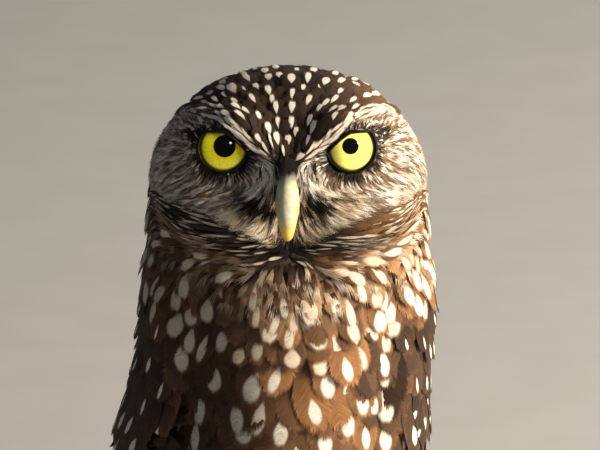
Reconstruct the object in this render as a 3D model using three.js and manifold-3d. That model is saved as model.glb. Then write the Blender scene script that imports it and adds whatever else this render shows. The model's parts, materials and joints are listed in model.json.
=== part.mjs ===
// A burrowing owl, life size, standing on its own feet with its head turned up to the viewer.
// Millimetres, +Z up. The bird faces -Y and its left side is +X. The floor is at Z 0.
// Every piece is a closed solid, and neighbours keep a thin gap between their faces.
import * as THREE from "three";
import { mergeVertices } from "three/addons/utils/BufferGeometryUtils.js";
import Module from "manifold-3d";

const wasm = await Module();
wasm.setup();

// Driving sizes
const GAP = 0.3; // between the faces of two pieces that touch
const LEFT = 1;
const RIGHT = -1;
const DEGREES = Math.PI / 180;

const HEAD_AT = [0, -8, 193]; // midway between the eyes, on the head's own level
const HEAD_PITCH = 18 * DEGREES; // the face looks up by this much
const HEAD_HALF_WIDTH = 37;
const HEAD_UP = 30.2; // from the head's widest level to the crown
const HEAD_DOWN = 23;
const HEAD_FRONT = 29;
const HEAD_BACK = 31;
const HEAD_WIDEST = -8; // below the eyes
const HEAD_DETAIL = 7;

const EYE_APART = 33.1; // from pupil to pupil
const EYE_RADIUS = 8;
const EYE_DEPTH = 20.6; // from the head's middle forward to the middle of the eyeball
const LID_THICK = 0.7;
const LID_OPENING = 6.2; // radius of the round of the iris that shows

const NECK_CUT = 160; // height of the joint between neck and torso
const TORSO_TOP = 190;
const TORSO_FOOT = 60;
const TORSO_SIDES = 28;
const TORSO_RINGS = 12;
const NECK_RINGS = 5;

const VANE_THICK = 0.55;
const VANE_STEP = 0.85; // rise from one tail feather to the next that lies over it

const LEG_APART = 29; // from the middle of one foot to the other
const FOOT_Y = 3;
const ANKLE = [14, 12, 45]; // of the left leg
const HIP = [15, 6, 86];
const FOOT_TOP = 7.5;
const TOE_RADIUS = 2.5;
const SOLE_CUT = 0.5; // how much of each toe's round is flat on the floor

// Colours of the plumage and the bare parts
const paint = (colour, roughness) =>
  new THREE.MeshStandardMaterial({ color: colour, roughness, metalness: 0 });
const BROWN = paint(0x6a4f3e, 0.9);
const DARK_BROWN = paint(0x46352c, 0.9);
const FACE = paint(0x8a7a6c, 0.9);
const BUFF = paint(0xc9b79c, 0.9);
const HORN = paint(0xc3c69a, 0.4);
const YELLOW = paint(0xd8cf1e, 0.1);
const TOE_SKIN = paint(0x8d8474, 0.6);
const CLAW = paint(0x2a2522, 0.35);

// A smooth curve through a few keys [at, size], level at both ends
function along(keys) {
  const slope = keys.map((key, i) => {
    if (i === 0 || i === keys.length - 1) return 0;
    const [before, after] = [keys[i - 1], keys[i + 1]];
    return (after[1] - before[1]) / (after[0] - before[0]);
  });
  return (at) => {
    let i = 0;
    while (i < keys.length - 2 && at > keys[i + 1][0]) i += 1;
    const span = keys[i + 1][0] - keys[i][0];
    const t = Math.min(1, Math.max(0, (at - keys[i][0]) / span));
    const rise = t * t * (3 - 2 * t);
    const leave = t * (1 - t) * (1 - t) * span;
    const arrive = t * t * (1 - t) * span;
    return keys[i][1] + (keys[i + 1][1] - keys[i][1]) * rise + slope[i] * leave - slope[i + 1] * arrive;
  };
}

const mix = (from, to, t) => from + (to - from) * t;
const bell = (distance, width) => Math.exp(-((distance / width) ** 2));
const smooth = (from, to, at) => {
  const t = Math.min(1, Math.max(0, (at - from) / (to - from)));
  return t * t * (3 - 2 * t);
};

// The trunk's outline by height: half width, how far it reaches forward and back, and where it is widest
const trunk = {
  side: along([[60, 5], [68, 16], [80, 25], [95, 30], [112, 33], [135, 34], [150, 35], [165, 37.5], [180, 36.5], [190, 33]]),
  front: along([[60, -8], [68, 8], [80, 22], [95, 32], [112, 38], [130, 40], [150, 39], [168, 38], [180, 35.5], [190, 31]]),
  back: along([[60, 20], [68, 30], [80, 35], [95, 36], [112, 35], [130, 33], [150, 31], [168, 28], [180, 25], [190, 20]]),
  middle: along([[60, 15], [80, 10], [100, 4], [130, 0], [150, -4], [190, -6]]),
};

// The surface that the folded wings lie on: it follows the trunk and then runs back over the tail
const cloak = {
  side: along([[34, 10], [50, 16], [65, 23], [80, 29], [95, 32], [112, 34], [135, 35], [150, 36], [172, 38.5]]),
  front: along([[34, -46], [50, -30], [65, -10], [80, 16], [95, 31], [112, 38.5], [130, 40.5], [150, 40], [172, 38.5]]),
  back: along([[34, 70], [50, 61], [65, 52], [80, 45], [95, 40], [112, 37], [130, 34], [150, 32], [172, 28]]),
  middle: along([[34, 58], [50, 44], [65, 29], [80, 17], [95, 8], [112, 4], [130, 0], [150, -4], [172, -5]]),
};

// A point of such a surface. The angle runs from the back, 0, round the side, 90 degrees, to the front.
function skinPoint(shape, z, angle, lift = 0) {
  const middle = shape.middle(z);
  const turn = Math.cos(angle);
  const reach = turn > 0 ? shape.back(z) - middle : shape.front(z) + middle;
  return new THREE.Vector3((shape.side(z) + lift) * Math.sin(angle), middle + (reach + lift) * turn, z);
}

// A closed solid from points and faces, turned so that its faces point out
function closed(points, faces) {
  const build = (list) =>
    new wasm.Manifold(
      new wasm.Mesh({
        numProp: 3,
        vertProperties: new Float32Array(points.flatMap((p) => [p.x, p.y, p.z])),
        triVerts: new Uint32Array(list.flat()),
      }),
    );
  const made = build(faces);
  return made.volume() > 0 ? made : build(faces.map(([a, b, c]) => [a, c, b]));
}

// The largest closed surface of a solid
const largest = (solid) => solid.decompose().sort((a, b) => b.volume() - a.volume())[0];
const joined = (solids) => largest(solids.reduce((all, one) => all.add(one)));

// A closed solid through rings that have the same number of points
function loft(rings) {
  const sides = rings[0].length;
  const points = rings.flat();
  const faces = [];
  for (let r = 0; r + 1 < rings.length; r += 1)
    for (let i = 0; i < sides; i += 1) {
      const [a, b] = [r * sides + i, r * sides + ((i + 1) % sides)];
      faces.push([a, b, b + sides], [a, b + sides, a + sides]);
    }
  [0, rings.length - 1].forEach((r) => {
    const middle = rings[r].reduce((sum, p) => sum.add(p), new THREE.Vector3()).divideScalar(sides);
    points.push(middle);
    for (let i = 0; i < sides; i += 1) {
      const edge = [r * sides + ((i + 1) % sides), r * sides + i];
      faces.push(r === 0 ? [...edge, points.length - 1] : [edge[1], edge[0], points.length - 1]);
    }
  });
  return closed(points, faces);
}

// A tapering limb along a curve. size(t) gives its half width and half depth.
function limb(path, steps, sides, size, sideways = new THREE.Vector3(1, 0, 0)) {
  const curve = new THREE.CatmullRomCurve3(path.map((p) => new THREE.Vector3(...p)));
  const rings = [];
  for (let r = 0; r <= steps; r += 1) {
    const t = r / steps;
    const tangent = curve.getTangent(t);
    const depth = new THREE.Vector3().crossVectors(sideways, tangent).normalize();
    const across = new THREE.Vector3().crossVectors(tangent, depth).normalize();
    const [wide, deep] = size(t);
    const ring = [];
    for (let i = 0; i < sides; i += 1) {
      const angle = (2 * Math.PI * i) / sides;
      const point = curve.getPoint(t).addScaledVector(across, wide * Math.cos(angle));
      ring.push(point.addScaledVector(depth, deep * Math.sin(angle)));
    }
    rings.push(ring);
  }
  return loft(rings);
}

// A ball whose points are moved by shape(direction)
function ball(detail, shape) {
  const geometry = new THREE.IcosahedronGeometry(1, detail);
  geometry.deleteAttribute("normal");
  geometry.deleteAttribute("uv");
  const merged = mergeVertices(geometry, 1e-4);
  const place = merged.getAttribute("position");
  const points = [];
  for (let i = 0; i < place.count; i += 1)
    points.push(shape(new THREE.Vector3().fromBufferAttribute(place, i).normalize()));
  const index = merged.index.array;
  const faces = [];
  for (let i = 0; i < index.length; i += 3) faces.push([index[i], index[i + 1], index[i + 2]]);
  return closed(points, faces);
}

const sphere = (centre, radius, detail) =>
  ball(detail, (way) => way.multiplyScalar(radius).add(new THREE.Vector3(...centre)));

// A block between two corners, for cuts
function block(low, high) {
  const size = high.map((value, i) => value - low[i]);
  const geometry = new THREE.BoxGeometry(...size);
  geometry.translate(...low.map((value, i) => value + size[i] / 2));
  return fromGeometry(geometry);
}

function fromGeometry(geometry) {
  geometry.deleteAttribute("normal");
  geometry.deleteAttribute("uv");
  const merged = mergeVertices(geometry, 1e-4);
  const place = merged.getAttribute("position");
  const points = [];
  for (let i = 0; i < place.count; i += 1) points.push(new THREE.Vector3().fromBufferAttribute(place, i));
  const index = merged.index.array;
  const faces = [];
  for (let i = 0; i < index.length; i += 3) faces.push([index[i], index[i + 1], index[i + 2]]);
  return closed(points, faces);
}

// Trunk: the torso below the neck's joint, and the neck above it with a hollow for the head
function trunkSolid(low, high, steps, lift = 0) {
  const rings = [];
  for (let r = 0; r <= steps; r += 1) {
    const z = mix(low, high, r / steps);
    const ring = [];
    for (let i = 0; i < TORSO_SIDES; i += 1)
      ring.push(skinPoint(trunk, z, (2 * Math.PI * i) / TORSO_SIDES, lift));
    rings.push(ring);
  }
  return loft(rings);
}

const torso = trunkSolid(TORSO_FOOT, NECK_CUT, TORSO_RINGS);
const trunkCutter = trunkSolid(TORSO_FOOT - GAP, TORSO_TOP, TORSO_RINGS + NECK_RINGS, 1.5 * GAP);

// Head, in its own level frame: its middle is between the eyes and the face looks along -Y
// A ridge on the face from one point to another, each given as [out from the middle, up]
const FACE_RIDGES = [
  { from: [1.5, -5], to: [12, 6.5], width: 3.2, height: 2.6 }, // inner brow
  { from: [12, 6.5], to: [26, 9.5], width: 3.4, height: 3.4 }, // outer brow, over the eye
  { from: [4, -9], to: [9, -15], width: 3.4, height: 1.6 }, // bristles beside the bill
  { from: [15, -16], to: [29, -13], width: 6, height: 1.6 }, // cheek
  { from: [34, 4], to: [33, -16], width: 3.5, height: 1.4 }, // side rim of the face
  { from: [30, -19], to: [0, -26], width: 3, height: 1.4 }, // lower rim of the face
];
const DISH = { at: [17.5, -1], width: 9, depth: 2.6 }; // the hollow round each eye

function toSegment([x, z], [x0, z0], [x1, z1]) {
  const [dx, dz] = [x1 - x0, z1 - z0];
  const t = Math.min(1, Math.max(0, ((x - x0) * dx + (z - z0) * dz) / (dx * dx + dz * dz)));
  return Math.hypot(x - x0 - t * dx, z - z0 - t * dz);
}

function headPoint(way, lift) {
  const round = mix(1.95, 2.45, smooth(0, 1, -way.y)) + 0.5 * smooth(0, 0.5, -way.z);
  const axes = [HEAD_HALF_WIDTH, way.y < 0 ? HEAD_FRONT : HEAD_BACK, way.z > 0 ? HEAD_UP : HEAD_DOWN];
  const sum = [way.x, way.y, way.z].reduce((all, value, i) => all + Math.abs(value / axes[i]) ** round, 0);
  const point = way.clone().multiplyScalar(sum ** (-1 / round) + lift);
  point.z += HEAD_WIDEST;
  const facing = smooth(0.15, 0.6, -way.y);
  const spot = [Math.abs(point.x), point.z];
  let forward = -DISH.depth * bell(Math.hypot(spot[0] - DISH.at[0], spot[1] - DISH.at[1]), DISH.width);
  FACE_RIDGES.forEach((ridge) => {
    forward += ridge.height * bell(toSegment(spot, ridge.from, ridge.to), ridge.width);
  });
  point.y -= forward * facing;
  return point;
}

// How high the upper lid lets the iris show, by distance from the pupil towards the bill
const lidLine = (inward) => (inward < 0 ? 3.7 - 0.05 * inward : 3.7 - 0.55 * inward - 0.05 * inward * inward);

function lidOpening(side) {
  const outline = (y) => {
    const ring = [];
    for (let i = 0; i < 28; i += 1) {
      const angle = (2 * Math.PI * i) / 28;
      const inward = LID_OPENING * Math.cos(angle);
      const up = Math.min(LID_OPENING * Math.sin(angle), lidLine(inward));
      ring.push(new THREE.Vector3(side * (EYE_APART / 2 - inward), y, up));
    }
    return ring;
  };
  return loft([outline(-EYE_DEPTH), outline(-EYE_DEPTH - 16)]);
}

const eyeAt = (side) => [(side * EYE_APART) / 2, -EYE_DEPTH, 0];

function headSolid() {
  const socketRadius = EYE_RADIUS + GAP;
  let head = ball(HEAD_DETAIL, (way) => headPoint(way, 0));
  [LEFT, RIGHT].forEach((side) => {
    head = head.add(sphere(eyeAt(side), socketRadius + LID_THICK, 3));
    head = head.subtract(sphere(eyeAt(side), socketRadius, 3));
    head = head.subtract(lidOpening(side));
  });
  return largest(head);
}

const headCutter = ball(HEAD_DETAIL, (way) => headPoint(way, GAP));

const eyeSolid = (side) => sphere(eyeAt(side), EYE_RADIUS, 4);

// Bill: a hooked upper half with nostrils in its cere, and a short lower half
const BILL_TOP = [[0, -18, -4.8], [0, -28, -6.4], [0, -34, -11.4], [0, -35.4, -18.2], [0, -33.4, -24]];
const BILL_LOW = [[0, -16, -13], [0, -25, -15.5], [0, -30.6, -20]];
const billWide = along([[0, 4.2], [0.35, 3.2], [0.6, 3.15], [0.8, 2.5], [0.93, 1.4], [1, 0.35]]);
const billDeep = along([[0, 3.8], [0.35, 3.5], [0.6, 3.1], [0.8, 2.2], [0.93, 1.1], [1, 0.3]]);

function billUpper() {
  let bill = limb(BILL_TOP, 9, 12, (t) => [billWide(t), billDeep(t)]);
  [LEFT, RIGHT].forEach((side) => {
    bill = bill.subtract(sphere([side * 3.6, -31.6, -8.2], 1.1, 1));
  });
  return largest(bill.subtract(headCutter).subtract(billLowerShape(GAP)));
}

const billLowerShape = (lift) => limb(BILL_LOW, 4, 8, (t) => [mix(3, 1, t) + lift, mix(2, 0.7, t) + lift]);

// A vane laid on the wing's surface. It runs from root to tip, each [height, angle], with
// lift [at the root, at the tip] above the surface. The edge nearer the belly stands highest, by
// tilt for each millimetre across, so that every vane lies over the next one towards the belly.
const VANE_OUTLINE = [[0, 0.6], [0.4, 1], [0.8, 0.9], [1, 0.2]];

function vane(surface, root, tip, width, lift, tilt) {
  const top = [];
  const bottom = [];
  VANE_OUTLINE.forEach(([t, share]) => {
    const z = mix(root[0], tip[0], t);
    const angle = mix(root[1], tip[1], t);
    const here = surface(z, angle, 0);
    const alongZ = surface(z + 0.5, angle, 0).sub(here).multiplyScalar(2);
    const step = 0.5 * DEGREES;
    const alongAngle = surface(z, angle + step, 0).sub(here).divideScalar(step);
    const normal = new THREE.Vector3().crossVectors(alongZ, alongAngle).normalize();
    const run = alongZ.clone().multiplyScalar(tip[0] - root[0]);
    run.addScaledVector(alongAngle, tip[1] - root[1]).normalize();
    const across = new THREE.Vector3().crossVectors(normal, run);
    const [zz, za, aa] = [alongZ.dot(alongZ), alongZ.dot(alongAngle), alongAngle.dot(alongAngle)];
    const [qz, qa] = [across.dot(alongZ), across.dot(alongAngle)];
    const scale = 1 / (zz * aa - za * za);
    const [stepZ, stepAngle] = [(qz * aa - qa * za) * scale, (qa * zz - qz * za) * scale];
    const toBelly = Math.sign(stepAngle);
    [-1, 1].forEach((edge) => {
      const out = (edge * share * width) / 2;
      const height = mix(lift[0], lift[1], t) + tilt * out * toBelly;
      const [zs, as] = [z + stepZ * out, angle + stepAngle * out];
      top.push(surface(zs, as, height + VANE_THICK / 2));
      bottom.push(surface(zs, as, height - VANE_THICK / 2));
    });
  });
  return plate(top, bottom, VANE_OUTLINE.length, 2);
}

// A thin plate between two grids of points, split into triangles alike on both faces
function plate(top, bottom, rows, columns) {
  const faces = [];
  const under = top.length;
  for (let r = 0; r + 1 < rows; r += 1)
    for (let c = 0; c + 1 < columns; c += 1) {
      const a = r * columns + c;
      const [b, d, e] = [a + 1, a + columns, a + columns + 1];
      faces.push([a, b, e], [a, e, d]);
      faces.push([under + a, under + e, under + b], [under + a, under + d, under + e]);
    }
  const rim = [];
  for (let c = 0; c + 1 < columns; c += 1) rim.push(c);
  for (let r = 0; r + 1 < rows; r += 1) rim.push(r * columns + columns - 1);
  for (let c = columns - 1; c > 0; c -= 1) rim.push((rows - 1) * columns + c);
  for (let r = rows - 1; r > 0; r -= 1) rim.push(r * columns);
  rim.forEach((a, i) => {
    const b = rim[(i + 1) % rim.length];
    faces.push([b, a, under + a], [b, under + a, under + b]);
  });
  return closed([...top, ...bottom], faces);
}

// Wing: tiers of vanes whose roots sink into a pad over the arm. Each place is [height, degrees],
// for the vane nearest the belly and the one nearest the back. bend moves the middle tips.
const TIERS = [
  { name: "primaries", count: 6, roots: [[126, 122], [116, 62]], tips: [[46, 70], [54, 14]], bend: -6, width: 11, lift: [2.2, 2.6], tilt: 0.22 },
  { name: "secondaries", count: 7, roots: [[118, 114], [124, 26]], tips: [[84, 98], [64, 14]], bend: 0, width: 14, lift: [2.8, 4.8], tilt: 0.12 },
  { name: "greater coverts", count: 7, roots: [[138, 120], [140, 26]], tips: [[105, 116], [92, 19]], bend: 0, width: 14, lift: [3.4, 6], tilt: 0.11 },
  { name: "median coverts", count: 6, roots: [[148, 119], [151, 30]], tips: [[124, 119], [115, 24]], bend: 0, width: 15, lift: [4, 7], tilt: 0.1 },
];
const PAD = { top: 163, foot: 104, back: 20, front: 131, thick: 5.6 };

function padSolid(surface) {
  const [rows, columns] = [9, 8];
  const top = [];
  const bottom = [];
  for (let r = 0; r < rows; r += 1)
    for (let c = 0; c < columns; c += 1) {
      const [t, u] = [r / (rows - 1), c / (columns - 1)];
      const round = Math.sqrt(Math.max(0, 1 - (1 - 2 * t) ** 4)) * 0.5 + 0.1;
      const middle = mix(PAD.front, PAD.back, 0.5);
      const half = ((PAD.front - PAD.back) / 2) * Math.min(1, round + 0.4);
      const z = mix(PAD.top, PAD.foot, t);
      const angle = (middle + half * (2 * u - 1)) * DEGREES;
      const swell = Math.sin(Math.PI * mix(0.005, 0.93, t)) ** 0.6 * Math.sin(Math.PI * mix(0.08, 0.92, u)) ** 0.6;
      const high = 0.7 + PAD.thick * swell * (1 - 0.45 * t);
      top.push(surface(z, angle, high));
      bottom.push(surface(z, angle, -1));
    }
  return plate(top, bottom, rows, columns);
}

// The right wing hangs a little open, so its lower part stands off the body
const WING_DROOP = { [LEFT]: 0, [RIGHT]: 13 };

function wingSolid(side) {
  const surface = (z, angle, lift) => {
    const open = WING_DROOP[side] * smooth(150, 88, z) * smooth(20 * DEGREES, 100 * DEGREES, angle);
    const point = skinPoint(cloak, z, angle, lift + open);
    point.x *= side;
    return point;
  };
  const pieces = [padSolid(surface).subtract(trunkCutter)];
  TIERS.forEach((tier) => {
    for (let i = 0; i < tier.count; i += 1) {
      const t = i / (tier.count - 1);
      const place = ([first, last]) => [mix(first[0], last[0], t), mix(first[1], last[1], t) * DEGREES];
      const tip = place(tier.tips);
      tip[0] += tier.bend * Math.sin(Math.PI * Math.min(1, t * 1.4));
      pieces.push(vane(surface, place(tier.roots), tip, tier.width, tier.lift, tier.tilt));
    }
  });
  return joined(pieces);
}

// Tail: a short root that carries twelve feathers, the middle pair on top
const TAIL_ROOT = [28, 84]; // y and z
const TAIL_TIP = [66, 22];
const TAIL_FEATHERS = 12;
const TAIL_WIDE = 12.5;
const TAIL_SPREAD = 3.5; // between neighbouring tips

function tailSolid() {
  const length = Math.hypot(TAIL_TIP[0] - TAIL_ROOT[0], TAIL_TIP[1] - TAIL_ROOT[1]);
  const down = new THREE.Vector3(0, TAIL_TIP[0] - TAIL_ROOT[0], TAIL_TIP[1] - TAIL_ROOT[1]).normalize();
  const up = new THREE.Vector3(0, -down.z, down.y);
  const root = new THREE.Vector3(0, ...TAIL_ROOT);
  const tailPoint = (run, x, h) => root.clone().addScaledVector(down, run).addScaledVector(up, h).setX(x);
  const pieces = [limb([[0, 20, 96], [0, 32, 77], [0, 46, 54]], 5, 12, (t) => [mix(19, 8, t), mix(13, 2.2, t)])];
  for (let i = 0; i < TAIL_FEATHERS; i += 1) {
    const place = i - (TAIL_FEATHERS - 1) / 2;
    const rank = Math.abs(place);
    const reach = length - 0.9 * rank;
    const top = [];
    const bottom = [];
    VANE_OUTLINE.forEach(([t, share]) => {
      const middle = place * mix(0.9, TAIL_SPREAD, t);
      [-1, 0, 1].forEach((edge) => {
        const x = middle + (edge * share * TAIL_WIDE) / 2;
        const h = 2 - VANE_STEP * rank - (0.004 * x * x) - 0.03 * edge * Math.sign(place) * share * TAIL_WIDE;
        top.push(tailPoint(reach * t, x, h + VANE_THICK / 2));
        bottom.push(tailPoint(reach * t, x, h - VANE_THICK / 2));
      });
    });
    pieces.push(plate(top, bottom, VANE_OUTLINE.length, 3));
  }
  return largest(joined(pieces).subtract(trunkCutter));
}

// Legs: a feathered thigh, a long shank, and a foot whose soles are flat on the floor
const mirrored = (side, [x, y, z]) => [side * x, y, z];

function thighSolid(side) {
  const path = [HIP, [16, 3, 68], ANKLE].map((p) => mirrored(side, p));
  const shape = limb(path, 9, 14, (t) => [mix(14, 4.2, t ** 0.8), mix(16, 4.6, t ** 0.8)]);
  const floor = block([-60, -60, 0], [60, 60, ANKLE[2] + 1]);
  return largest(shape.subtract(trunkCutter).subtract(floor));
}

function shankSolid(side) {
  const foot = [LEG_APART / 2, FOOT_Y, 2];
  const path = [[14, 12, 50], ANKLE, [14.4, 8, 26], foot].map((p) => mirrored(side, p));
  const shape = limb(path, 9, 10, (t) => [2.9 + 0.9 * bell(t - 0.12, 0.14), 3.1 + 1.1 * bell(t - 0.12, 0.14)]);
  const above = block([-60, -60, ANKLE[2] + 1 - GAP], [60, 60, 70]);
  const below = block([-60, -60, -10], [60, 60, FOOT_TOP + GAP]);
  return largest(shape.subtract(above).subtract(below));
}

// Toes of the left foot: the way each points, in degrees from straight ahead and out, and its length
const TOES = [
  { name: "hind", way: 190, length: 13 },
  { name: "inner", way: -24, length: 18 },
  { name: "middle", way: 14, length: 21 },
  { name: "outer", way: 78, length: 17 },
];
const CLAW_LENGTH = 9.5;

const toeWay = (side, toe) => new THREE.Vector3(side * Math.sin(toe.way * DEGREES), -Math.cos(toe.way * DEGREES), 0);

function footSolid(side) {
  const middle = new THREE.Vector3((side * LEG_APART) / 2, FOOT_Y, 0);
  const ankle = [middle.x, middle.y, FOOT_TOP + 3];
  const pieces = [limb([ankle, [middle.x, middle.y - 0.5, -1.5]], 5, 12, (t) => [mix(3.2, 4.6, t), mix(3.4, 4.8, t)])];
  TOES.forEach((toe) => {
    const way = toeWay(side, toe);
    const place = (run, z) => [middle.x + way.x * run, middle.y + way.y * run, z];
    const rest = (t) => mix(TOE_RADIUS, 1.8, t) - SOLE_CUT;
    const path = [0.05, 0.35, 0.7, 1].map((t) => place(toe.length * t, rest(t)));
    const sideways = new THREE.Vector3(way.y, -way.x, 0);
    const thick = (t) => mix(TOE_RADIUS, 1.8, t) + 0.35 * Math.cos(2 * Math.PI * 3 * t);
    pieces.push(limb(path, 6, 7, (t) => [thick(t), thick(t)], sideways));
  });
  const above = block([-60, -60, FOOT_TOP], [60, 60, 30]);
  const below = block([-60, -60, -10], [60, 60, 0]);
  return largest(joined(pieces).subtract(above).subtract(below));
}

function clawSolid(side, toe) {
  const way = toeWay(side, toe);
  const start = toe.length + 2 * GAP;
  const place = (run, z) => [(side * LEG_APART) / 2 + way.x * run, FOOT_Y + way.y * run, z];
  const path = [place(start, 1.6), place(start + 3.5, 2.7), place(start + 7, 2), place(start + CLAW_LENGTH, 0.4)];
  const sideways = new THREE.Vector3(way.y, -way.x, 0);
  const thick = (t) => mix(1.45, 0.3, t ** 1.2);
  const blunt = block([-60, -60, -5], [60, 60, 0.1]);
  return largest(limb(path, 5, 6, (t) => [thick(t), thick(t) * 1.15], sideways).subtract(blunt));
}

// Puts a solid into a named mesh
function piece(name, solid, material) {
  const mesh = solid.getMesh();
  const geometry = new THREE.BufferGeometry();
  geometry.setAttribute("position", new THREE.BufferAttribute(new Float32Array(mesh.vertProperties), 3));
  geometry.setIndex(new THREE.BufferAttribute(new Uint32Array(mesh.triVerts), 1));
  geometry.computeVertexNormals();
  const made = new THREE.Mesh(geometry, material);
  made.name = name;
  return made;
}

// The head turns up as a whole: its pieces are made level and turned about the point between the eyes
const headTurn = new THREE.Matrix4().makeRotationX(-HEAD_PITCH).setPosition(...HEAD_AT);
const turned = (solid) => solid.transform(headTurn.toArray());

const owl = new THREE.Group();
const head = turned(headSolid());
owl.add(piece("head", head, FACE));
owl.add(piece("bill_upper", turned(billUpper()), HORN));
owl.add(piece("bill_lower", turned(largest(billLowerShape(0).subtract(headCutter))), HORN));
const neck = trunkSolid(NECK_CUT + GAP, TORSO_TOP, NECK_RINGS).subtract(turned(headCutter));
owl.add(piece("neck", largest(neck), BROWN));
owl.add(piece("torso", torso, BROWN));
owl.add(piece("tail", tailSolid(), DARK_BROWN));
[LEFT, RIGHT].forEach((side) => {
  const word = side === LEFT ? "left" : "right";
  owl.add(piece(`eye_${word}`, turned(eyeSolid(side)), YELLOW));
  owl.add(piece(`wing_${word}`, wingSolid(side), DARK_BROWN));
  owl.add(piece(`thigh_${word}`, thighSolid(side), BUFF));
  owl.add(piece(`shank_${word}`, shankSolid(side), BUFF));
  owl.add(piece(`foot_${word}`, footSolid(side), TOE_SKIN));
  TOES.forEach((toe) => owl.add(piece(`claw_${word}_${toe.name}`, clawSolid(side, toe), CLAW)));
});

// The origin is under the middle of the whole bird
const box = new THREE.Box3().setFromObject(owl);
const centre = box.getCenter(new THREE.Vector3());
owl.position.set(-centre.x, -centre.y, 0);

export default owl;
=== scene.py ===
# %% [markdown]
# # A burrowing owl, life size
# A burrowing owl is a small owl on long legs. This one stands as a museum would show it, in the pose
# of the photo. The solids of its body come in as a fixed frame, in metres, with every node where the
# real part is. All that follows dresses that frame: one skin, about twelve thousand feathers, eyes,
# bill, legs and claws. The bird faces -Y, its left side is +X and the floor is at Z 0.

# %% Load the frame
import json
import math

import bmesh
import bpy
import numpy as np
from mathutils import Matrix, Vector
from mathutils.bvhtree import BVHTree

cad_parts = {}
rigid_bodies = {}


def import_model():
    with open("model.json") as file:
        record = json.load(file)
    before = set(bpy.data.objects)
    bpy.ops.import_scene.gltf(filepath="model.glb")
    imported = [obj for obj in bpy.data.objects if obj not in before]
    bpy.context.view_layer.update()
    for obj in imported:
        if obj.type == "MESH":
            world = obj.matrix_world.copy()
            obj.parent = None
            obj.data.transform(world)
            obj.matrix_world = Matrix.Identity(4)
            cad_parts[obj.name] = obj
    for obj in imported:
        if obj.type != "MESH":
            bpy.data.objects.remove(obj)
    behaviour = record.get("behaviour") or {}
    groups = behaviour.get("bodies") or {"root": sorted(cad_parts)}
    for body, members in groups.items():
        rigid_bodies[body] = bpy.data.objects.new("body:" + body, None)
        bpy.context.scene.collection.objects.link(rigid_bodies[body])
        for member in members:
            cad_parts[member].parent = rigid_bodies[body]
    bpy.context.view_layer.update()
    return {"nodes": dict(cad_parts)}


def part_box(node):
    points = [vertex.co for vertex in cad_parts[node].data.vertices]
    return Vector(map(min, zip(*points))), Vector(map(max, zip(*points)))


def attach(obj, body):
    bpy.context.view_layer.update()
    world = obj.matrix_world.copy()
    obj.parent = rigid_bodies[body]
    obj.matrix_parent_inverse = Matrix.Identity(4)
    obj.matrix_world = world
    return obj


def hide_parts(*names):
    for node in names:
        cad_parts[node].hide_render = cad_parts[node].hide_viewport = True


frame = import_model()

MM = 0.001  # lengths below are in millimetres and are turned into metres where a mesh is made

# %% [markdown]
# ## Small tools for numbers
# Feathers are many and small, so they are worked out as arrays: one row for each feather, one column
# for each corner. These few functions do the same to a single number and to a whole array.


# %% Numbers and curves
def smooth(low, high, at):
    """0 below low, 1 above high, and a soft rise between them."""
    t = np.clip((at - low) / (high - low), 0.0, 1.0)
    return t * t * (3 - 2 * t)


def mix(a, b, t):
    return a + (b - a) * t


def along(keys):
    """A smooth curve through keys (at, size), level at both ends."""
    at = np.array([k[0] for k in keys], float)
    size = np.array([k[1] for k in keys], float)
    slope = np.zeros(len(keys))
    slope[1:-1] = (size[2:] - size[:-2]) / (at[2:] - at[:-2])

    def curve(x):
        x = np.asarray(x, float)
        i = np.clip(np.searchsorted(at, x, side="left") - 1, 0, len(at) - 2)
        span = at[i + 1] - at[i]
        t = np.clip((x - at[i]) / span, 0, 1)
        rise = t * t * (3 - 2 * t)
        leave = t * (1 - t) ** 2 * span * slope[i]
        arrive = t * t * (1 - t) * span * slope[i + 1]
        return size[i] + (size[i + 1] - size[i]) * rise + leave - arrive

    return curve


def unit(v):
    return v / np.maximum(np.linalg.norm(v, axis=-1, keepdims=True), 1e-9)


def across_surface(v, normal):
    """The part of v that runs along the surface, one long."""
    return unit(v - normal * (v * normal).sum(-1, keepdims=True))


print("a soft rise:", smooth(0, 1, np.linspace(0, 1, 5)).round(2))


# %% [markdown]
# ## Where the head is
# The head looks up a little, so its pieces are easiest to describe in a level frame of its own, with
# the middle between the eyes at nought. The eyes of the frame tell where that is.

# %% The head's own level frame
EYE_DEPTH = 20.6  # from the head's middle forward to the middle of an eyeball
EYE_RADIUS = 8.0
HEAD_PITCH = math.radians(18)
HEAD_TURN = np.array([[1, 0, 0],
                      [0, math.cos(HEAD_PITCH), math.sin(HEAD_PITCH)],
                      [0, -math.sin(HEAD_PITCH), math.cos(HEAD_PITCH)]])


def middle_of(node):
    low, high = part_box(node)
    return np.array((low + high) / 2) / MM


EYES = {side: middle_of("eye_" + side) for side in ("left", "right")}
HEAD_AT = (EYES["left"] + EYES["right"]) / 2 - HEAD_TURN @ np.array([0, -EYE_DEPTH, 0])
EYE_OUT = (EYES["left"][0] - EYES["right"][0]) / 2
BODY_SHIFT = HEAD_AT - np.array([0, -8, 193])  # where the bird's own middle line stands in the frame


def to_head(points):
    return (points - HEAD_AT) @ HEAD_TURN


def from_head(points):
    return np.asarray(points, float) @ HEAD_TURN.T + HEAD_AT


print("head at", HEAD_AT.round(1), "eyes", round(EYE_OUT * 2, 1), "mm apart")

# %% [markdown]
# ## The folded wings' surface
# A folded wing lies round the body like a cloak. One smooth surface, given by its outline at each
# height, carries all its feathers: the angle runs from the back, 0, round the side to the front.

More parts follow.
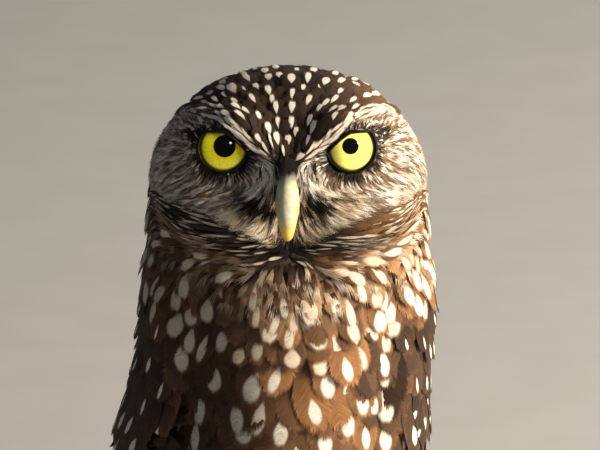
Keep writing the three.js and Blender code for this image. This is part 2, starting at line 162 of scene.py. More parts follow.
# %% The cloak
CLOAK_SIDE = along([(34, 10), (50, 16), (65, 23), (80, 29), (95, 32), (112, 34), (135, 35), (150, 36),
                    (172, 38.5)])
CLOAK_FRONT = along([(34, -46), (50, -30), (65, -10), (80, 16), (95, 31), (112, 38.5), (130, 40.5),
                     (150, 40), (172, 38.5)])
CLOAK_BACK = along([(34, 70), (50, 61), (65, 52), (80, 45), (95, 40), (112, 37), (130, 34), (150, 32),
                    (172, 28)])
CLOAK_MIDDLE = along([(34, 58), (50, 44), (65, 29), (80, 17), (95, 8), (112, 4), (130, 0), (150, -4),
                      (172, -5)])
SIDES = {"left": 1, "right": -1}
DROOP = {"left": 0.0, "right": 13.0}  # the right wing hangs this far open at its foot


def cloak(side, z, degrees, lift):
    """Points on a folded wing, by height, angle from the back and lift above the surface."""
    turn = np.radians(degrees)
    opened = DROOP[side] * smooth(150, 88, z) * smooth(20, 100, degrees)
    lift = lift + opened
    middle = CLOAK_MIDDLE(z)
    reach = np.where(np.cos(turn) > 0, CLOAK_BACK(z) - middle, CLOAK_FRONT(z) + middle)
    x = SIDES[side] * (CLOAK_SIDE(z) + lift) * np.sin(turn)
    y = middle + (reach + lift) * np.cos(turn)
    return np.stack([x, y, z * np.ones_like(x)], -1) + BODY_SHIFT


print("the folded wings are", 2 * float(CLOAK_SIDE(135)), "mm across where they are fullest")


# %% [markdown]
# ## Where a point lies
# The depth of the coat, its lie and its colours all depend on where on the bird a point is. One small
# class works that out for any number of points at once: in the head's level frame, round the body,
# and against the two lines that shape an owl's face, its brow and the foot of its facial disc.


# %% Places on the bird
BROW = along([(0, -5.8), (3, -4.4), (7, -2.0), (11, 0.9), (15, 4.4), (20, 7.2), (27, 9.6), (33, 7.5),
              (39, 3)])
BROW_WIDE = along([(0, 2.0), (8, 2.2), (15, 3.0), (24, 4.0), (31, 2.5)])
DISC_FOOT = along([(0, -25.5), (6, -23), (12, -20.4), (19, -17.6), (27, -15.2), (33, -13), (38, -11),
                   (45, -8)])
LID_OPENING = 6.15  # half the width of the opening between the lids


class Where:
    """Points in millimetres with their places on the bird, each place as an array."""

    def __init__(self, points):
        self.points, self.count = points, len(points)
        self.x, self.y, self.up = to_head(points).T
        self.out = np.abs(self.x)  # how far from the head's middle plane
        self.over_brow = self.up - BROW(self.out)
        self.under_disc = DISC_FOOT(self.out) - self.up
        self.body_x, self.body_y, self.z = (points - BODY_SHIFT).T
        middle = CLOAK_MIDDLE(self.z)
        reach = np.where(self.body_y > middle, CLOAK_BACK(self.z) - middle, CLOAK_FRONT(self.z) + middle)
        aside, behind = np.abs(self.body_x) / CLOAK_SIDE(self.z), (self.body_y - middle) / reach
        self.turn = np.degrees(np.arctan2(aside, behind))  # round the body: 0 at the back, 180 in front


def lid_outline(angle):
    """The opening between the lids, round below and cut off flat above: how far inward and up it is."""
    inward = LID_OPENING * np.cos(angle)
    top = np.where(inward < 0, 3.7 - 0.05 * inward, 3.7 - 0.55 * inward - 0.05 * inward ** 2)
    return inward, np.minimum(LID_OPENING * np.sin(angle), top)


def past_lid(at):
    """How far points on the head lie outside the opening of their eye's lids."""
    inward, lid_up = lid_outline(np.linspace(-np.pi, np.pi, 145))
    turn, reach = np.arctan2(lid_up, -inward), np.hypot(lid_up, inward)
    order = np.argsort(turn)
    lid = np.interp(np.arctan2(at.up, at.out - EYE_OUT), turn[order], reach[order], period=2 * np.pi)
    return np.hypot(at.out - EYE_OUT, at.up) - lid


print("the brow rises", round(float(BROW(27) - BROW(0)), 1), "mm from the bill to its outer bend")

# %% [markdown]
# ## Materials
# Plumage is matt, with a soft sheen, and its marks change from feather to feather and along each
# one. An image would blur them, so each feather carries its own numbers as attributes on its mesh:
# how far along and across a point lies, the base colour, the colour and size of its spot, its bars.
# One node group then draws the marks from these, as fine as the render can show them.
#
# A shader tree is mostly sums and products, so a small class lets Python's own signs build it: where
# a and b flow through a tree, a * b + 1 adds the two maths nodes that say so.


# %% Nodes and links
def feed(socket, value):
    """Links a socket to a flowing value or to another socket, or sets it to a plain value."""
    value = getattr(value, "socket", value)
    if isinstance(value, bpy.types.NodeSocket):
        socket.id_data.links.new(value, socket)
    else:
        socket.default_value = value


def add(tree, kind, inputs=None, **settings):
    """A new node with settings of its own, and values or links for its inputs."""
    node = tree.nodes.new(kind)
    for name, value in settings.items():
        setattr(node, name, value)
    for name, value in (inputs or {}).items():
        feed(node.inputs[name], value)
    return node


# %% Numbers that flow through a tree
class Flow:
    """A number that flows through a shader tree. Signs add the maths nodes that work it out."""

    def __init__(self, socket):
        self.socket = socket

    def maths(self, operation, *others):
        given = dict(enumerate((self, *others)))
        return Flow(add(self.socket.id_data, "ShaderNodeMath", given, operation=operation).outputs[0])

    def __add__(self, other):
        return self.maths("ADD", other)

    def __sub__(self, other):
        return self.maths("SUBTRACT", other)

    def __rsub__(self, other):
        return self * -1.0 + other

    def __mul__(self, other):
        return self.maths("MULTIPLY", other)

    def __truediv__(self, other):
        return self.maths("DIVIDE", other)

    def __abs__(self):
        return self.maths("ABSOLUTE")

    def step(self, low, high, to_low=0.0, to_high=1.0):
        """A soft rise from low to high, given out between to_low and to_high."""
        given = {"Value": self, "From Min": low, "From Max": high, "To Min": to_low, "To Max": to_high}
        node = add(self.socket.id_data, "ShaderNodeMapRange", given, interpolation_type="SMOOTHSTEP")
        return Flow(node.outputs["Result"])


def distance(a, b):
    """How far a point at (a, b) is from nought."""
    return (a * a + b * b).maths("SQRT")


# %% Vectors, colours and groups
def parts_of(vector):
    node = add(vector.id_data, "ShaderNodeSeparateXYZ", {0: vector})
    return [Flow(socket) for socket in node.outputs]


def pair(a, b):
    return add(a.socket.id_data, "ShaderNodeCombineXYZ", {0: a, 1: b}).outputs[0]


def blend(tree, amount, first, second):
    node = add(tree, "ShaderNodeMix", data_type="RGBA")
    for index, value in ((0, amount), (6, first), (7, second)):
        feed(node.inputs[index], value)
    return node.outputs[2]


def brighten(colour, amount):
    given = {0: colour, "Scale": amount}
    return add(colour.id_data, "ShaderNodeVectorMath", given, operation="SCALE").outputs["Vector"]


def group_tree(name, inputs, outputs):
    """A new node group with named sockets, given as kind and name. Gives its tree and both ends."""
    tree = bpy.data.node_groups.new(name, "ShaderNodeTree")
    for in_out, sockets in (("INPUT", inputs), ("OUTPUT", outputs)):
        for kind, label in sockets:
            tree.interface.new_socket(label, in_out=in_out, socket_type="NodeSocket" + kind)
    return tree, tree.nodes.new("NodeGroupInput").outputs, tree.nodes.new("NodeGroupOutput").inputs


# %% The feather pattern, as a shader node group
BARB_LINES, BARB_SWEEP = 44.0, 13.0  # lines of barbs along a feather, and how far they sweep to its tip
OUTSIDE, INSIDE = 1.12, 0.74  # a mark's edge is soft between these, where 1 is its outline


def feather_group():
    """Marks of a feather from its own numbers. Place is along, across and chance; Spot is where the
    spot's middle lies, its half length and half width; Bars is their number, reach and streak."""
    tree, given, end = group_tree(
        "Feather marks",
        [("Color", "Base"), ("Color", "Mark"), ("Float", "Spot amount"), ("Float", "Edge amount"),
         ("Vector", "Place"), ("Vector", "Spot"), ("Vector", "Bars")],
        [("Color", "Color"), ("Float", "Height")])
    t, s, chance = parts_of(given["Place"])
    spot_at, spot_long, spot_wide = parts_of(given["Spot"])
    count, reach, streak = parts_of(given["Bars"])
    wide = abs(s)
    # fine barbs leave the shaft and sweep towards the tip, and no two feathers have the same
    across_barbs = t * BARB_LINES - wide * BARB_SWEEP + chance * 90.0
    noise = add(tree, "ShaderNodeTexNoise", noise_dimensions="2D", inputs={
        "Vector": pair(across_barbs, s * 1.4 + chance), "Scale": 1.0, "Detail": 4.0, "Roughness": 0.65})
    barb = Flow(noise.outputs["Fac"])
    # the base colour is darker where tucked under others, own tone and painted shade, paler at the edge
    base = brighten(given["Base"], t.step(0.0, 0.6, 0.5, 1.0))
    edge = wide.maths("MAXIMUM", t * 2.0 - 1.0).step(0.6, 1.0)
    base = brighten(base, edge * given["Edge amount"] + 1.0)
    # bars are half ovals that reach in from both edges, and a streak runs down the shaft
    along_bar = (t * count + chance * 0.2).maths("FRACT") - 0.5
    inward = (1.0 - wide) / reach.maths("MAXIMUM", 0.05)
    oval = distance(along_bar / (reach * 0.15 + 0.11), inward) + (barb - 0.5) * 0.5
    bars = oval.step(OUTSIDE, INSIDE) * reach.step(0.0, 0.4, 0.0, 0.9)
    colour = blend(tree, bars, base, given["Mark"])
    colour = blend(tree, wide.step(0.45, 0.1) * streak, colour, given["Mark"])
    # the spot is a drop, slimmer and fainter towards the root
    down = (t - spot_at) / spot_long
    side = s / (spot_wide * down.step(-1.2, 0.2, 0.45, 1.0))
    drop = distance(down, side) + (barb - 0.5) * 0.7
    spot = drop.step(OUTSIDE, INSIDE) * given["Spot amount"] * down.step(-1.1, -0.1, 0.72, 1.0)
    colour = blend(tree, spot, colour, given["Mark"])
    feed(end["Color"], brighten(colour, barb.step(0.3, 0.7, 0.68, 1.2)))
    feed(end["Height"], barb)
    return tree


FEATHER_MARKS = feather_group()
print("feather marks:", len(FEATHER_MARKS.nodes), "nodes")


# %% The plumage
def principled(name):
    """A new material, its tree and its shader."""
    made = bpy.data.materials.new(name)
    made.use_nodes = True
    return made, made.node_tree, made.node_tree.nodes["Principled BSDF"]


def read(tree, attribute):
    """The outputs of a node that reads an attribute of the mesh."""
    return add(tree, "ShaderNodeAttribute", attribute_name=attribute).outputs


def emboss(shader, height, deep, strength=1.0):
    """Bumps the shader's normal by a height, deep in millimetres."""
    given = {"Distance": deep * MM, "Strength": strength, "Height": height}
    bump = add(shader.id_data, "ShaderNodeBump", given)
    feed(shader.inputs["Normal"], bump.outputs["Normal"])


def finish(shader, **sockets):
    """Sets the shader's own sockets, whose names are given with _ for each space."""
    for name, value in sockets.items():
        shader.inputs[name.replace("_", " ")].default_value = value


def plumage_material():
    made, tree, shader = principled("plumage")
    base, mark = read(tree, "plumage"), read(tree, "mark")
    given = {"Base": base["Color"], "Edge amount": base["Alpha"], "Mark": mark["Color"],
             "Spot amount": mark["Alpha"]}
    given.update({name: read(tree, name.lower())["Vector"] for name in ("Place", "Spot", "Bars")})
    marks = add(tree, "ShaderNodeGroup", given, node_tree=FEATHER_MARKS)
    emboss(shader, marks.outputs["Height"], 0.06, 0.6)
    feed(shader.inputs["Base Color"], marks.outputs["Color"])
    finish(shader, Roughness=0.72, Specular_IOR_Level=0.16, Sheen_Weight=0.02, Sheen_Roughness=0.45)
    return made


PLUMAGE = plumage_material()
print("plumage:", len(PLUMAGE.node_tree.nodes), "nodes")

# %% [markdown]
# ## Bare parts' materials
# Lids, bill, toes and claws are bare skin and horn, never of one even tone. Painting each by hand
# would take long, so they share one fine grain: a node group that mottles any colour and gives a
# height for bumps, measured on Object coordinates, so that it stays with the piece.


# %% A shared grain, as a shader node group
def grain_group():
    """A fine mottling: takes a colour and a scale, gives the colour mottled and a height for bumps."""
    tree, given, end = group_tree("Grain", [("Color", "Color"), ("Float", "Scale"), ("Float", "Amount")],
                                  [("Color", "Color"), ("Float", "Height")])
    place = tree.nodes.new("ShaderNodeTexCoord").outputs["Object"]
    noise = add(tree, "ShaderNodeTexNoise", {"Vector": place, "Scale": given["Scale"], "Detail": 3.0})
    amount = Flow(given["Amount"])
    mottled = Flow(noise.outputs["Fac"]).step(0.3, 0.7, 1.0 - amount, amount + 1.0)
    feed(end["Color"], brighten(given["Color"], mottled))
    feed(end["Height"], noise.outputs["Fac"])
    return tree


GRAIN = grain_group()


def material(name, colour, roughness, grain=(900.0, 0.15), bump=0.0, attribute=None, **sockets):
    """A Principled material whose colour is one value or an attribute, with the shared grain."""
    made, tree, shader = principled(name)
    paint = read(tree, attribute)["Color"] if attribute else (*colour, 1)
    given = {"Color": paint, "Scale": grain[0], "Amount": grain[1]}
    group = add(tree, "ShaderNodeGroup", given, node_tree=GRAIN)
    feed(shader.inputs["Base Color"], group.outputs["Color"])
    if bump:
        emboss(shader, group.outputs["Height"], bump)
    finish(shader, Roughness=roughness, **sockets)
    return made


def scute_material():
    """Bare toes: rings of small plates along each toe, drawn from each corner's way out along it."""
    made = material("scaly toes", (0.27, 0.215, 0.14), 0.5, (1200.0, 0.3))
    shader = made.node_tree.nodes["Principled BSDF"]
    run, height, _ = parts_of(read(made.node_tree, "place")["Vector"])
    ring = (height * 0.16 + run * 0.62).maths("FRACT")
    plate = ring.step(0.0, 0.2) * ring.step(1.0, 0.86)
    mottled = shader.inputs["Base Color"].links[0].from_socket
    feed(shader.inputs["Base Color"], brighten(mottled, plate.step(0.0, 1.0, 0.5, 1.1)))
    emboss(shader, plate, 0.3)
    return made


SKIN = material("skin under the feathers", None, 0.9, (500.0, 0.2), attribute="plumage")
LID = material("bare dark lid", (0.005, 0.004, 0.004), 0.5, (2500.0, 0.3), 0.1, Specular_IOR_Level=0.15)
SHANK = material("skin of the shank", (0.40, 0.31, 0.21), 0.7, (900.0, 0.2), 0.15)
TOE_SKIN = scute_material()
CLAW = material("dark claw", (0.022, 0.018, 0.015), 0.42, (900.0, 0.3), 0.03)
HORN = material("horn of the bill", None, 0.5, (700.0, 0.1), 0.02, attribute="plumage")
FLOOR = material("pale floor", (0.46, 0.46, 0.45), 0.8, (40.0, 0.02))
print("materials:", [look.name for look in (SKIN, LID, SHANK, TOE_SKIN, CLAW, HORN, FLOOR)])

# %% [markdown]
# ## Meshes from arrays
# A mesh made straight from arrays of corners, triangles and colours takes a moment, where adding
# corners one at a time would take minutes.


# %% One mesh from arrays
def object_of(name, data):
    """A new object in the scene, from a mesh, a light or a camera."""
    made = bpy.data.objects.new(name, data)
    bpy.context.scene.collection.objects.link(made)
    return made


def mesh_object(name, points, faces, look, colours=None, uv=None, **attributes):
    """points in millimetres, faces as triangles, and colours, uv and other values for each point."""
    points, faces = np.asarray(points, float), np.asarray(faces, int)
    mesh = bpy.data.meshes.new(name)
    mesh.vertices.add(len(points))
    mesh.vertices.foreach_set("co", (points * MM).astype(np.float32).ravel())
    mesh.loops.add(faces.size)
    mesh.loops.foreach_set("vertex_index", faces.astype(np.int32).ravel())
    mesh.polygons.add(len(faces))
    mesh.polygons.foreach_set("loop_start", np.arange(0, faces.size, 3, dtype=np.int32))
    mesh.polygons.foreach_set("use_smooth", np.ones(len(faces), bool))
    mesh.update(calc_edges=True)
    if colours is not None:
        attributes["plumage"] = colours
    for key, values in attributes.items():
        values = np.asarray(values, np.float32)
        if key in ("plumage", "mark"):
            rgba = np.ones((len(points), 4), np.float32)
            rgba[:, :values.shape[1]] = np.clip(values, 0, 1)
            mesh.color_attributes.new(key, "FLOAT_COLOR", "POINT").data.foreach_set("color", rgba.ravel())
        else:
            mesh.attributes.new(key, "FLOAT_VECTOR", "POINT").data.foreach_set("vector", values.ravel())
    if uv is not None:
        layer = mesh.uv_layers.new(name="OFBake")
        layer.data.foreach_set("uv", np.clip(uv, 0, 1)[faces.ravel()].astype(np.float32).ravel())
    mesh.materials.append(look)
    return object_of(name, mesh)


# %% Grids, tubes and limbs
def grid_faces(rows, columns, closed=False):
    """Triangles of a grid of points, row after row; closed joins the last column to the first."""
    steps = columns if closed else columns - 1
    r, c = np.meshgrid(np.arange(rows - 1), np.arange(steps), indexing="ij")
    a = (r * columns + c).ravel()
    b = (r * columns + (c + 1) % columns).ravel()
    return np.concatenate([np.stack([a, b, b + columns], 1), np.stack([a, b + columns, a + columns], 1)])


def tube_faces(rows, columns):
    """Triangles of a tube of rings, closed by a fan round each end's middle, the last two points."""
    ring = np.arange(columns)
    after, last = (ring + 1) % columns, (rows - 1) * columns
    middle = np.full(columns, rows * columns)
    return np.concatenate([grid_faces(rows, columns, closed=True), np.stack([after, ring, middle], 1),
                           np.stack([last + ring, last + after, middle + 1], 1)])


def loft(path, sizes, rows, sides):
    """A closed tapering limb in the y-z plane. path is (y, z) points, sizes(t) gives (half width, half
    depth). Its points come row after row, then the two ends' middles."""
    path = np.asarray(path, float)
    at = np.linspace(0, 1, len(path))
    t = np.linspace(0, 1, rows)
    y, z = (along(list(zip(at, path[:, i])))(t)[:, None] for i in (0, 1))
    way_y, way_z = np.gradient(y, axis=0), np.gradient(z, axis=0)
    size = np.hypot(way_y, way_z)
    wide, deep = (np.array(v, float)[:, None] for v in zip(*[sizes(k) for k in t]))
    angle = np.linspace(0, 2 * np.pi, sides, endpoint=False)
    out = deep * np.sin(angle)
    ring = np.stack([wide * np.cos(angle), y - out * (way_z / size), z + out * (way_y / size)], -1)
    return np.concatenate([ring.reshape(-1, 3), ring[[0, -1]].mean(1)]), tube_faces(rows, sides)


print("a grid of 3 by 4 points has", len(grid_faces(3, 4)), "triangles, a tube", len(tube_faces(3, 4)))


# %% Finished meshes
def turned_out(made):
    """Recalculates the normals of a closed mesh so that they point outwards."""
    work = bmesh.new()
    work.from_mesh(made.data)
    bmesh.ops.recalc_face_normals(work, faces=work.faces)
    work.to_mesh(made.data)
    work.free()
    return made


def settle(made):
    """Applies every modifier of an object, so that a plain mesh is left."""
    made.data = bpy.data.meshes.new_from_object(
        made.evaluated_get(bpy.context.evaluated_depsgraph_get()))
    made.modifiers.clear()
    return made


# %% [markdown]
# ## The skin
# Under its feathers a bird has one skin. Here one skin stands for the flesh of head, neck, trunk,
# thighs and wing arms, so that no seam shows where feathers part. Sewing the solids' meshes together
# would leave creases, so copies of them are swollen a little, fused on a fine grid of voxels and
# smoothed, and the result is drawn in by the depth of the coat that will grow on it.


# %% Gather the flesh
def copy_of(name, node, swell):
    """A merged copy of a solid of the frame, swollen a little. The frame's own mesh stays as it is."""
    work = bmesh.new()
    work.from_mesh(frame["nodes"][node].data)
    bmesh.ops.remove_doubles(work, verts=work.verts, dist=1e-6)
    work.normal_update()
    for corner in work.verts:
        corner.co += corner.normal * swell * MM
    mesh = bpy.data.meshes.new(name)
    work.to_mesh(mesh)
    work.free()
    return object_of(name, mesh)


PAD_TOP, PAD_FOOT = 163, 104  # heights between which the wing's arm lies
PAD_BACK, PAD_FRONT = 20, 131  # and degrees round the body
PAD_THICK, PAD_SUNK = 4.6, 3.0  # how far it rises above the cloak and lies below it


def wing_arm(side):
    """The fleshy part of a folded wing, which the feathers' roots sink into."""
    rows, columns = 15, 13
    t, u = np.meshgrid(np.linspace(0, 1, rows), np.linspace(0, 1, columns), indexing="ij")
    rounding = np.sqrt(np.maximum(0, 1 - (1 - 2 * t) ** 4)) * 0.5 + 0.1
    half = (PAD_FRONT - PAD_BACK) / 2 * np.minimum(1, rounding + 0.4)
    z, degrees = mix(PAD_TOP, PAD_FOOT, t), (PAD_FRONT + PAD_BACK) / 2 + half * (2 * u - 1)
    swell = np.sin(np.pi * mix(0.005, 0.93, t)) ** 0.6 * np.sin(np.pi * mix(0.08, 0.92, u)) ** 0.6
    top = cloak(side, z, degrees, 0.5 + PAD_THICK * swell * (1 - 0.45 * t)).reshape(-1, 3)
    under = cloak(side, z, degrees, -PAD_SUNK).reshape(-1, 3)
    faces = grid_faces(rows, columns)
    n = rows * columns
    rim = np.concatenate([np.arange(columns), np.arange(1, rows) * columns + columns - 1,
                          (rows - 1) * columns + np.arange(columns - 2, -1, -1),
                          np.arange(rows - 2, 0, -1) * columns])
    after = np.roll(rim, -1)
    wall = np.concatenate([np.stack([after, rim, rim + n], 1), np.stack([after, rim + n, after + n], 1)])
    return mesh_object("flesh", np.concatenate([top, under]),
                       np.concatenate([faces, faces[:, ::-1] + n, wall]), SKIN)


RUMP = [(18, 97), (32, 77), (45, 56)]  # (y, z) down the root of the tail
SWELL = 0.35  # how far the copies of the solids are swollen
flesh = [copy_of("flesh", node, SWELL) for node in ("head", "neck", "torso", "thigh_left", "thigh_right")]
flesh += [turned_out(wing_arm(side)) for side in SIDES]
rump, rump_faces = loft(RUMP, lambda t: (mix(20, 7, t), mix(13.5, 2.6, t)), 14, 20)
flesh.append(turned_out(mesh_object("flesh", rump + BODY_SHIFT, rump_faces, SKIN)))
print("pieces of flesh:", len(flesh))


# %% Fuse and smooth
def fuse(made, voxel):
    """A modifier that joins what a mesh holds into one closed surface, on a grid of voxels."""
    remesh = made.modifiers.new("Fuse", "REMESH")
    remesh.mode = "VOXEL"
    remesh.voxel_size = voxel * MM


def soften(made, times, group=""):
    smoothing = made.modifiers.new("Soften", "SMOOTH")
    smoothing.factor = 0.5
    smoothing.iterations = times
    smoothing.vertex_group = group


whole = bmesh.new()
for piece in flesh:
    whole.from_mesh(piece.data)
    bpy.data.objects.remove(piece)
skin = object_of("skin", bpy.data.meshes.new("skin"))
whole.to_mesh(skin.data)
whole.free()
fuse(skin, 1.1)
settle(skin)
body_group = skin.vertex_groups.new(name="body")
for corner in skin.data.vertices:
    height = corner.co.z / MM
    body_group.add([corner.index], float(smooth(172, 160, height) * smooth(50, 62, height)), "REPLACE")
soften(skin, 5)
soften(skin, 24, "body")  # the trunk is smoother than the head and the legs
settle(skin)
skin.vertex_groups.clear()
skin.data.name = "skin"
print("fused skin:", len(skin.data.vertices), "corners")


# %% Draw the skin in
def arrays_of(mesh):
    """Corners in millimetres and their normals."""
    points = np.empty(len(mesh.vertices) * 3)
    mesh.vertices.foreach_get("co", points)
    normals = np.empty(len(mesh.vertices) * 3, np.float32)
    mesh.vertex_normals.foreach_get("vector", normals)
    return points.reshape(-1, 3) / MM, normals.reshape(-1, 3).astype(float)


BODY_COAT, HEAD_COAT, FACE_COAT, LID_COAT, LEG_COAT = 2.6, 1.9, 0.9, 0.1, 1.0


def coat_depth(at):
    """How far the skin lies under the outer coat: least on the face and feet."""
    height = at.points[:, 2]
    head = smooth(165, 178, height)
    face = smooth(-8, -20, at.y) * head
    round_eye = smooth(12, 8, np.hypot(at.out - EYE_OUT, at.up)) * face
    depth = mix(mix(BODY_COAT, HEAD_COAT, head), FACE_COAT, face)
    return mix(mix(depth, LID_COAT, round_eye), LEG_COAT, smooth(72, 54, height))


points, normals = arrays_of(skin.data)
points = points - normals * (coat_depth(Where(points)) + SWELL)[:, None]
skin.data.vertices.foreach_set("co", (points * MM).ravel())
skin.data.update()
print("skin:", len(skin.data.polygons), "faces")

# %% [markdown]
# ## Which feathers grow where
# A bird's feathers grow in tracts, and each tract has its own length, shape and marking. Painting the
# tracts by hand would tie them to one mesh, so the tract at a point follows from where the point is.


# %% Tracts
def tracts(points):
    """One word for each point: crown, brow, face, ruff, breast, belly, wing, back or thigh."""
    at = Where(points)
    wave = 4 * np.sin(0.45 * points[:, 0]) + 2 * np.sin(1.3 * points[:, 0] + 2)
    on_head = (at.z > 166) & (at.up > mix(-34, -18, smooth(20, -10, -at.y)))
    front = on_head & (at.y < -2)
    on_brow = (at.y < -8) & (at.out > 1.2) & (at.out < 32)
    words = np.full(at.count, "breast", dtype="<U8")
    for word, there in (
            ("belly", at.z < 104 + wave),
            ("back", at.turn < 40),
            ("wing", (at.turn >= 24) & (at.turn < 126) & (at.z > 112)),
            ("thigh", (at.z < 84) & (np.abs(at.body_x) > 4) & (at.body_y < 22)),
            ("ruff", at.z > mix(160, 152, smooth(100, 160, at.turn))),
            ("crown", on_head),
            ("face", front & (at.over_brow < 0) & (at.under_disc < 0)),
            ("brow", on_head & on_brow & (at.over_brow >= 0) & (at.over_brow < BROW_WIDE(at.out))),
            ("ruff", front & (at.under_disc >= 0)),
            ("ruff", on_head & (at.y >= -2) & (at.up < -9))):
        words[there] = word
    return words


print("tracts on the skin:", ", ".join(sorted(set(tracts(points)))))


# %% [markdown]
# ## Where the feathers' roots are
# Roots are spread evenly but not in rows. Points dropped by chance would leave bald spots, so Geometry
# Nodes' Poisson disk does it: it scatters points and drops those closer together than the spacing.


# %% Scatter roots with Geometry Nodes
def scatter_tree():
    tree = bpy.data.node_groups.new("Scatter roots", "GeometryNodeTree")
    for name, kind, value in (("Geometry", "Geometry", None), ("Spacing", "Float", 0.004),
                              ("Density", "Float", 1e5), ("Seed", "Int", 1)):
        socket = tree.interface.new_socket(name, in_out="INPUT", socket_type="NodeSocket" + kind)
        if value:
            socket.default_value = value
    tree.interface.new_socket("Geometry", in_out="OUTPUT", socket_type="NodeSocketGeometry")
    given = tree.nodes.new("NodeGroupInput").outputs
    tract = add(tree, "GeometryNodeInputNamedAttribute", {"Name": "tract"}, data_type="FLOAT")
    spread = add(tree, "GeometryNodeDistributePointsOnFaces", distribute_method="POISSON", inputs={
        "Mesh": given["Geometry"], "Distance Min": given["Spacing"], "Density Max": given["Density"],
        "Density Factor": tract.outputs["Attribute"], "Seed": given["Seed"]})
    normal = add(tree, "GeometryNodeStoreNamedAttribute", data_type="FLOAT_VECTOR", domain="POINT", inputs={
        "Name": "up", "Geometry": spread.outputs["Points"], "Value": spread.outputs["Normal"]})
    corners = add(tree, "GeometryNodePointsToVertices", {"Points": normal.outputs["Geometry"]})
    feed(tree.nodes.new("NodeGroupOutput").inputs["Geometry"], corners.outputs["Mesh"])
    return tree


SCATTER = scatter_tree()
print("scatter:", len(SCATTER.nodes), "nodes")


def scatter(surface, where, spacing, seed):
    """Roots on a surface where `where` is true, no closer than spacing. Gives points and normals."""
    tract = surface.data.attributes.get("tract") or surface.data.attributes.new("tract", "FLOAT", "POINT")
    tract.data.foreach_set("value", where.astype(np.float32))
    modifier = surface.modifiers.new("Scatter", "NODES")
    modifier.node_group = SCATTER
    socket = {item.name: item.identifier for item in SCATTER.interface.items_tree if item.in_out == "INPUT"}
    modifier[socket["Spacing"]] = spacing * MM
    modifier[socket["Density"]] = 6.0 / (spacing * MM) ** 2
    modifier[socket["Seed"]] = seed
    found = bpy.data.meshes.new_from_object(
        surface.evaluated_get(bpy.context.evaluated_depsgraph_get()))
    surface.modifiers.clear()
    points = np.empty(len(found.vertices) * 3)
    found.vertices.foreach_get("co", points)
    up = np.empty(len(found.vertices) * 3)
    found.attributes["up"].data.foreach_get("vector", up)
    bpy.data.meshes.remove(found)
    return points.reshape(-1, 3) / MM, unit(up.reshape(-1, 3))


# %% [markdown]
# ## Shapes of feathers
# A body feather has a closed vane round its shaft and a fringe of free barbs round that. A belly
# feather is nearly all free barbs, each a thin blade that leaves the shaft and sweeps to the tip. A
# wing feather is a smooth vane. Places on a feather are (t, s): t from root to tip, s from edge to
# edge, -1 to 1.


# %% Feathers of free barbs
def wound(points, faces):
    """Turns every triangle the same way round, so that feathers face outwards."""
    corner = points[faces]
    area = np.cross(corner[:, 1] - corner[:, 0], corner[:, 2] - corner[:, 0])
    faces[area < 0] = faces[area < 0][:, ::-1]
    return points, faces


def barbed(pairs, sweep=0.2, fray=0.75, cuts=(0.0, 0.34, 0.68, 1.0), seed=0, tips=3):
    """A feather of free barbs. fray below 1 thins the barbs towards their ends."""
    rng = np.random.default_rng(seed)
    points, faces = [], []

    def blade(base_t, wide, end_t, end_s):
        first = len(points)
        for n, cut in enumerate(cuts):
            t, s = mix(base_t, end_t, cut), end_s * cut
            half = wide * (1 - cut ** 2 * (1 - fray * 0.5)) / 2 if n < len(cuts) - 1 else 0
            points.extend([(t - half, s), (t + half, s)] if half else [(t, s)])
        for n in range(len(cuts) - 2):
            a = first + 2 * n
            faces.extend([(a, a + 1, a + 3), (a, a + 3, a + 2)])
        faces.append((len(points) - 3, len(points) - 2, len(points) - 1))

    step = 0.84 / pairs
    for side in (-1, 1):
        for i in range(pairs):
            root = 0.03 + step * (i + 0.5)
            end = min(root + sweep + 0.05 * rng.random(), 0.985)
            reach = math.sqrt(max(0.05, 1 - ((end - 0.55) / 0.5) ** 2)) * (0.9 + 0.16 * rng.random())
            blade(root, step * 1.35, end, side * reach)
    for i in range(tips):
        lean = (i - (tips - 1) / 2) / max(1, tips - 1) * 0.5
        blade(0.84, step * 1.5, 0.97 + 0.03 * rng.random(), lean + 0.04 * rng.normal())
    return wound(np.array(points, float), np.array(faces, int))


def tuft(strands, thick=0.24, spread=1.0, seed=0):
    """Fine strands that fan out from one root, as in down and in the bristles of the face."""
    rng = np.random.default_rng(seed)
    points, faces = [], []
    for k in range(strands):
        aim = spread * (2 * (k + 0.5) / strands - 1) + 0.1 * rng.normal()
        start, end = 0.12 * rng.random(), 0.72 + 0.28 * rng.random() * (1 - 0.3 * abs(aim))
        bend = aim * 0.55
        n = len(points)
        for part, t, s in ((0.6, start, aim * 0.15), (1.0, mix(start, end, 0.5), bend)):
            points.extend([(t, s - thick * part / 2), (t, s + thick * part / 2)])
        points.append((end, aim))
        faces.extend([(n, n + 1, n + 3), (n, n + 3, n + 2), (n + 2, n + 3, n + 4)])
    return wound(np.array(points, float), np.array(faces, int))


# %% Feathers with a closed vane
def vane_outline(t, tip):
    """Half the width of a vane, as a part of its widest."""
    rounding = np.maximum(0, (t - tip) / (1 - tip)) ** 2.4
    return np.minimum(1, 0.4 + 1.9 * t) * np.sqrt(np.maximum(0, 1 - rounding))


